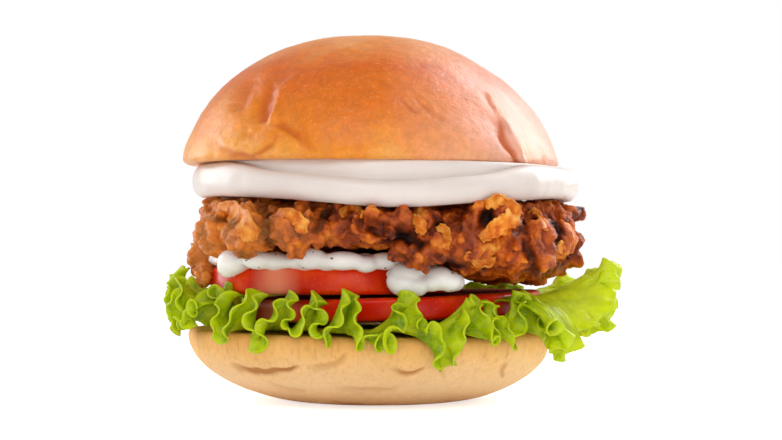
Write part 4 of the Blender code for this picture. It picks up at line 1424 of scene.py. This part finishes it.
# %% [markdown]
# ## From springs to a leaf
#
# The grown grid becomes a mesh with its own map, one axis along the leaf and one from fold to margin, and a
# flat part is added inwards to the middle of the burger. It is rounded and thickened as the flakes were.

# %% Leaves
LEAF_THICK = 0.42


def leaf_mesh(name, grid, material):
    """A closed thin mesh over a grid of points, with its own map: along the leaf, and from fold to margin."""
    centre_shares = (0.3, 0.65, 0.9)
    level = np.full((grid.shape[1], 1), LEAF_HEIGHT)
    inner = [np.concatenate([grid[0, :, :2] * share, level], axis=1) for share in centre_shares]
    rows = np.concatenate([np.array(inner), grid])
    across = [0.0] * len(centre_shares) + list(np.linspace(0.0, 1.0, LEAF_ROWS))
    count = rows.shape[1]
    steps = np.sqrt((np.diff(grid[-1], axis=0) ** 2).sum(axis=1))
    run = np.concatenate([[0.0], np.cumsum(steps)]) / 10.0
    faces = []
    for row in range(len(rows) - 1):
        low, high = row * count, (row + 1) * count
        faces += [(low + step, high + step, high + step + 1, low + step + 1) for step in range(count - 1)]
    mesh = bpy.data.meshes.new(name)
    mesh.from_pydata([tuple(point * MM) for point in rows.reshape(-1, 3)], [], faces)
    layer = mesh.uv_layers.new(name="leaf map")
    marks = [(run[loop.vertex_index % count], across[loop.vertex_index // count]) for loop in mesh.loops]
    layer.data.foreach_set("uv", [part for mark in marks for part in mark])
    draft = new_object(name, mesh)
    thicken(draft, LEAF_THICK)
    return settle(draft, material)


print("leaf thickness in mm:", LEAF_THICK)

# %% [markdown]
# ## Lettuce's finish
#
# A leaf is a thin, waxy sheet that light passes through, so a leaf lit from behind glows yellow-green. Half
# of that look is a Translucent shader mixed with the glossy one. Curly green lettuce is bright
# yellow-green, paler along its margin and its veins, and deeper in the blade; towards the right the blade is
# painted paler and yellower, as painted light. The veins branch from the fold to the margin, so they follow
# the leaf's own map and not the space around it.

# %% The leaf material


def lettuce_material():
    made, tree, shader, place = new_material("fresh curly lettuce")
    leaf_map = add(tree, "ShaderNodeUVMap", uv_map="leaf map")
    axes = add(tree, "ShaderNodeSeparateXYZ", (leaf_map,))
    blotch, bend, crinkle = (
        add(tree, "ShaderNodeTexNoise", {
            "Vector": place, "Scale": 1.0 / size, "Detail": detail, "Roughness": rough})
        for size, detail, rough in ((5.0, 3.0, 0.5), (4.0, 1.0, 0.5), (2.0, 3.0, 0.5)))
    blade = add(tree, "ShaderNodeValToRGB", {"Fac": blotch}, [(0.3, "#84A800"), (0.5, "#C0D600"),
            (0.72, "#E2EE10")])
    space = add(tree, "ShaderNodeSeparateXYZ", (place,))
    # Painted light: the blade turns paler and yellower towards the right, where light falls strongly on the
    # right leaf.
    lit_right_mask = add(tree, "ShaderNodeMapRange", (space.outputs["X"], 42.0, 58.0, 0.0, 0.7))
    lit_right_painted = add(tree, "ShaderNodeMix", {0: lit_right_mask, 6: blade, 7: "#F0F830"}, data_type="RGBA")
    edge = add(tree, "ShaderNodeMapRange", (axes.outputs["Y"], 0.93, 0.995))
    rimmed = add(tree, "ShaderNodeMix", {0: edge, 6: lit_right_painted, 7: "#DCEA18"}, data_type="RGBA")
    sway = add(tree, "ShaderNodeMath", (bend, 0.5, axes.outputs["X"]), operation="MULTIPLY_ADD")
    stretched = add(tree, "ShaderNodeCombineXYZ", (sway, axes.outputs["Y"], 0.0))
    scaled = add(tree, "ShaderNodeVectorMath", (stretched, (2.0, 2.6, 1.0)), operation="MULTIPLY")
    net = add(tree, "ShaderNodeTexVoronoi", {"Vector": scaled, "Scale": 1.0}, feature="DISTANCE_TO_EDGE")
    vein = add(tree, "ShaderNodeMapRange", (net, 0.07, 0.02, 0.0, 0.2))
    veined = add(tree, "ShaderNodeMix", {0: vein, 6: rimmed, 7: "#DCE482"}, data_type="RGBA")
    height = add(tree, "ShaderNodeMath", (vein, -0.6, crinkle), operation="MULTIPLY_ADD")
    relief = add(tree, "ShaderNodeBump", {"Height": height, "Strength": 0.8, "Distance": 0.4 * MM})
    fill(shader, {"Base Color": veined, "Normal": relief, "Roughness": 0.38, "IOR": 1.34})
    through = add(tree, "ShaderNodeBsdfTranslucent", {"Color": veined, "Normal": relief})
    both = add(tree, "ShaderNodeMixShader", (0.42, shader, through))
    fill(tree.nodes["Material Output"], {"Surface": both})
    return made


lettuce = lettuce_material()
FRONT_MARGIN = (
    (-154.0, 24.0), (-148.0, 31.5), (-141.0, 33.0), (-133.5, 16.8), (-127.0, 33.6), (-121.0, 17.0),
    (-114.5, 32.6), (-109.5, 22.0), (-105.0, 32.8), (-101.0, 18.0), (-96.5, 32.6), (-91.0, 17.6),
    (-84.6, 18.6), (-80.0, 31.0), (-75.0, 24.0), (-67.5, 9.5), (-61.5, 28.0), (-59.0, 30.0), (-56.0, 18.0),
    (-53.0, 30.6), (-48.8, 17.0), (-45.0, 28.6), (-40.0, 30.0), (-36.0, 19.5), (-33.0, 25.0),
)
LEFT_MARGIN = (
    (-208.0, 25.0), (-203.0, 32.0), (-195.0, 19.0), (-188.0, 34.0), (-181.0, 20.0), (-173.0, 36.0),
    (-163.0, 18.0), (-156.0, 33.0), (-150.0, 21.0), (-146.0, 27.0),
)
RIGHT_MARGIN = (
    (-46.0, 22.0), (-38.0, 12.0), (-8.0, 37.5), (2.0, 15.0), (13.0, 36.0), (22.0, 14.0), (30.0, 33.0),
    (36.0, 22.0),
)


def back_margin():
    draw = random.Random(11)
    angle, margin, high = 32.0, [(32.0, 24.0)], True
    while angle < 144.0:
        angle += draw.uniform(5.0, 8.0)
        margin.append((angle, draw.uniform(27.0, 33.0) if high else draw.uniform(13.0, 19.5)))
        high = not high
    margin.append((152.0, 24.0))
    return margin


# The columns: piece, node, margin, columns of points, width, height of the fold, growth along the margin, its
# frill, how uneven its outline is, how far high parts tuck in, and the seed.
LEAVES = (
    ("curly_leaf_front", "lettuce_leaf_front", FRONT_MARGIN, 600, 13.6, 20.9, 1.7, 5.2, 0.16, 4.0, 21),
    ("curly_leaf_left", "lettuce_leaf_left", LEFT_MARGIN, 280, 14.5, 28.0, 1.5, 4.4, 0.18, 2.0, 22),
    ("curly_leaf_right", "lettuce_leaf_right", RIGHT_MARGIN, 480, 22.5, 28.6, 1.5, 7.0, 0.28, 0.0, 23),
    ("curly_leaf_back", "lettuce_leaf_back", back_margin(), 480, 12.0, 31.2, 1.8, 2.4, 0.14, 4.0, 24),
)
PASSES, MEMORY, WEIGHT = 300, 0.003, 0.002
for leaf_name, leaf_node, margin, columns, width, fold_height, growth, frill, ragged, tuck, seed in LEAVES:
    start = leaf_start(margin, columns, width, fold_height, tuck, seed)
    arc = math.radians(margin[-1][0] - margin[0][0]) * LEAF_FOLD
    springs = leaf_springs(columns, arc, width, growth, frill, ragged, seed)
    leaf = leaf_mesh(leaf_name, grow_leaf(start, springs, PASSES, MEMORY, WEIGHT), lettuce)
    finish_piece(leaf, leaf_node)

# %% [markdown]
# ## Measure
#
# The visual model's box is printed beside the CAD model's box. The visual model may stand a little
# proud of the CAD model's box, but it is the same size of thing.

# %% Measure
visual_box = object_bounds()


for label, (low, high) in (("CAD", cad_box), ("visual", visual_box)):
    print(f"{label} box, mm: {[round((b - a) * 1000.0, 1) for a, b in zip(low, high)]}")
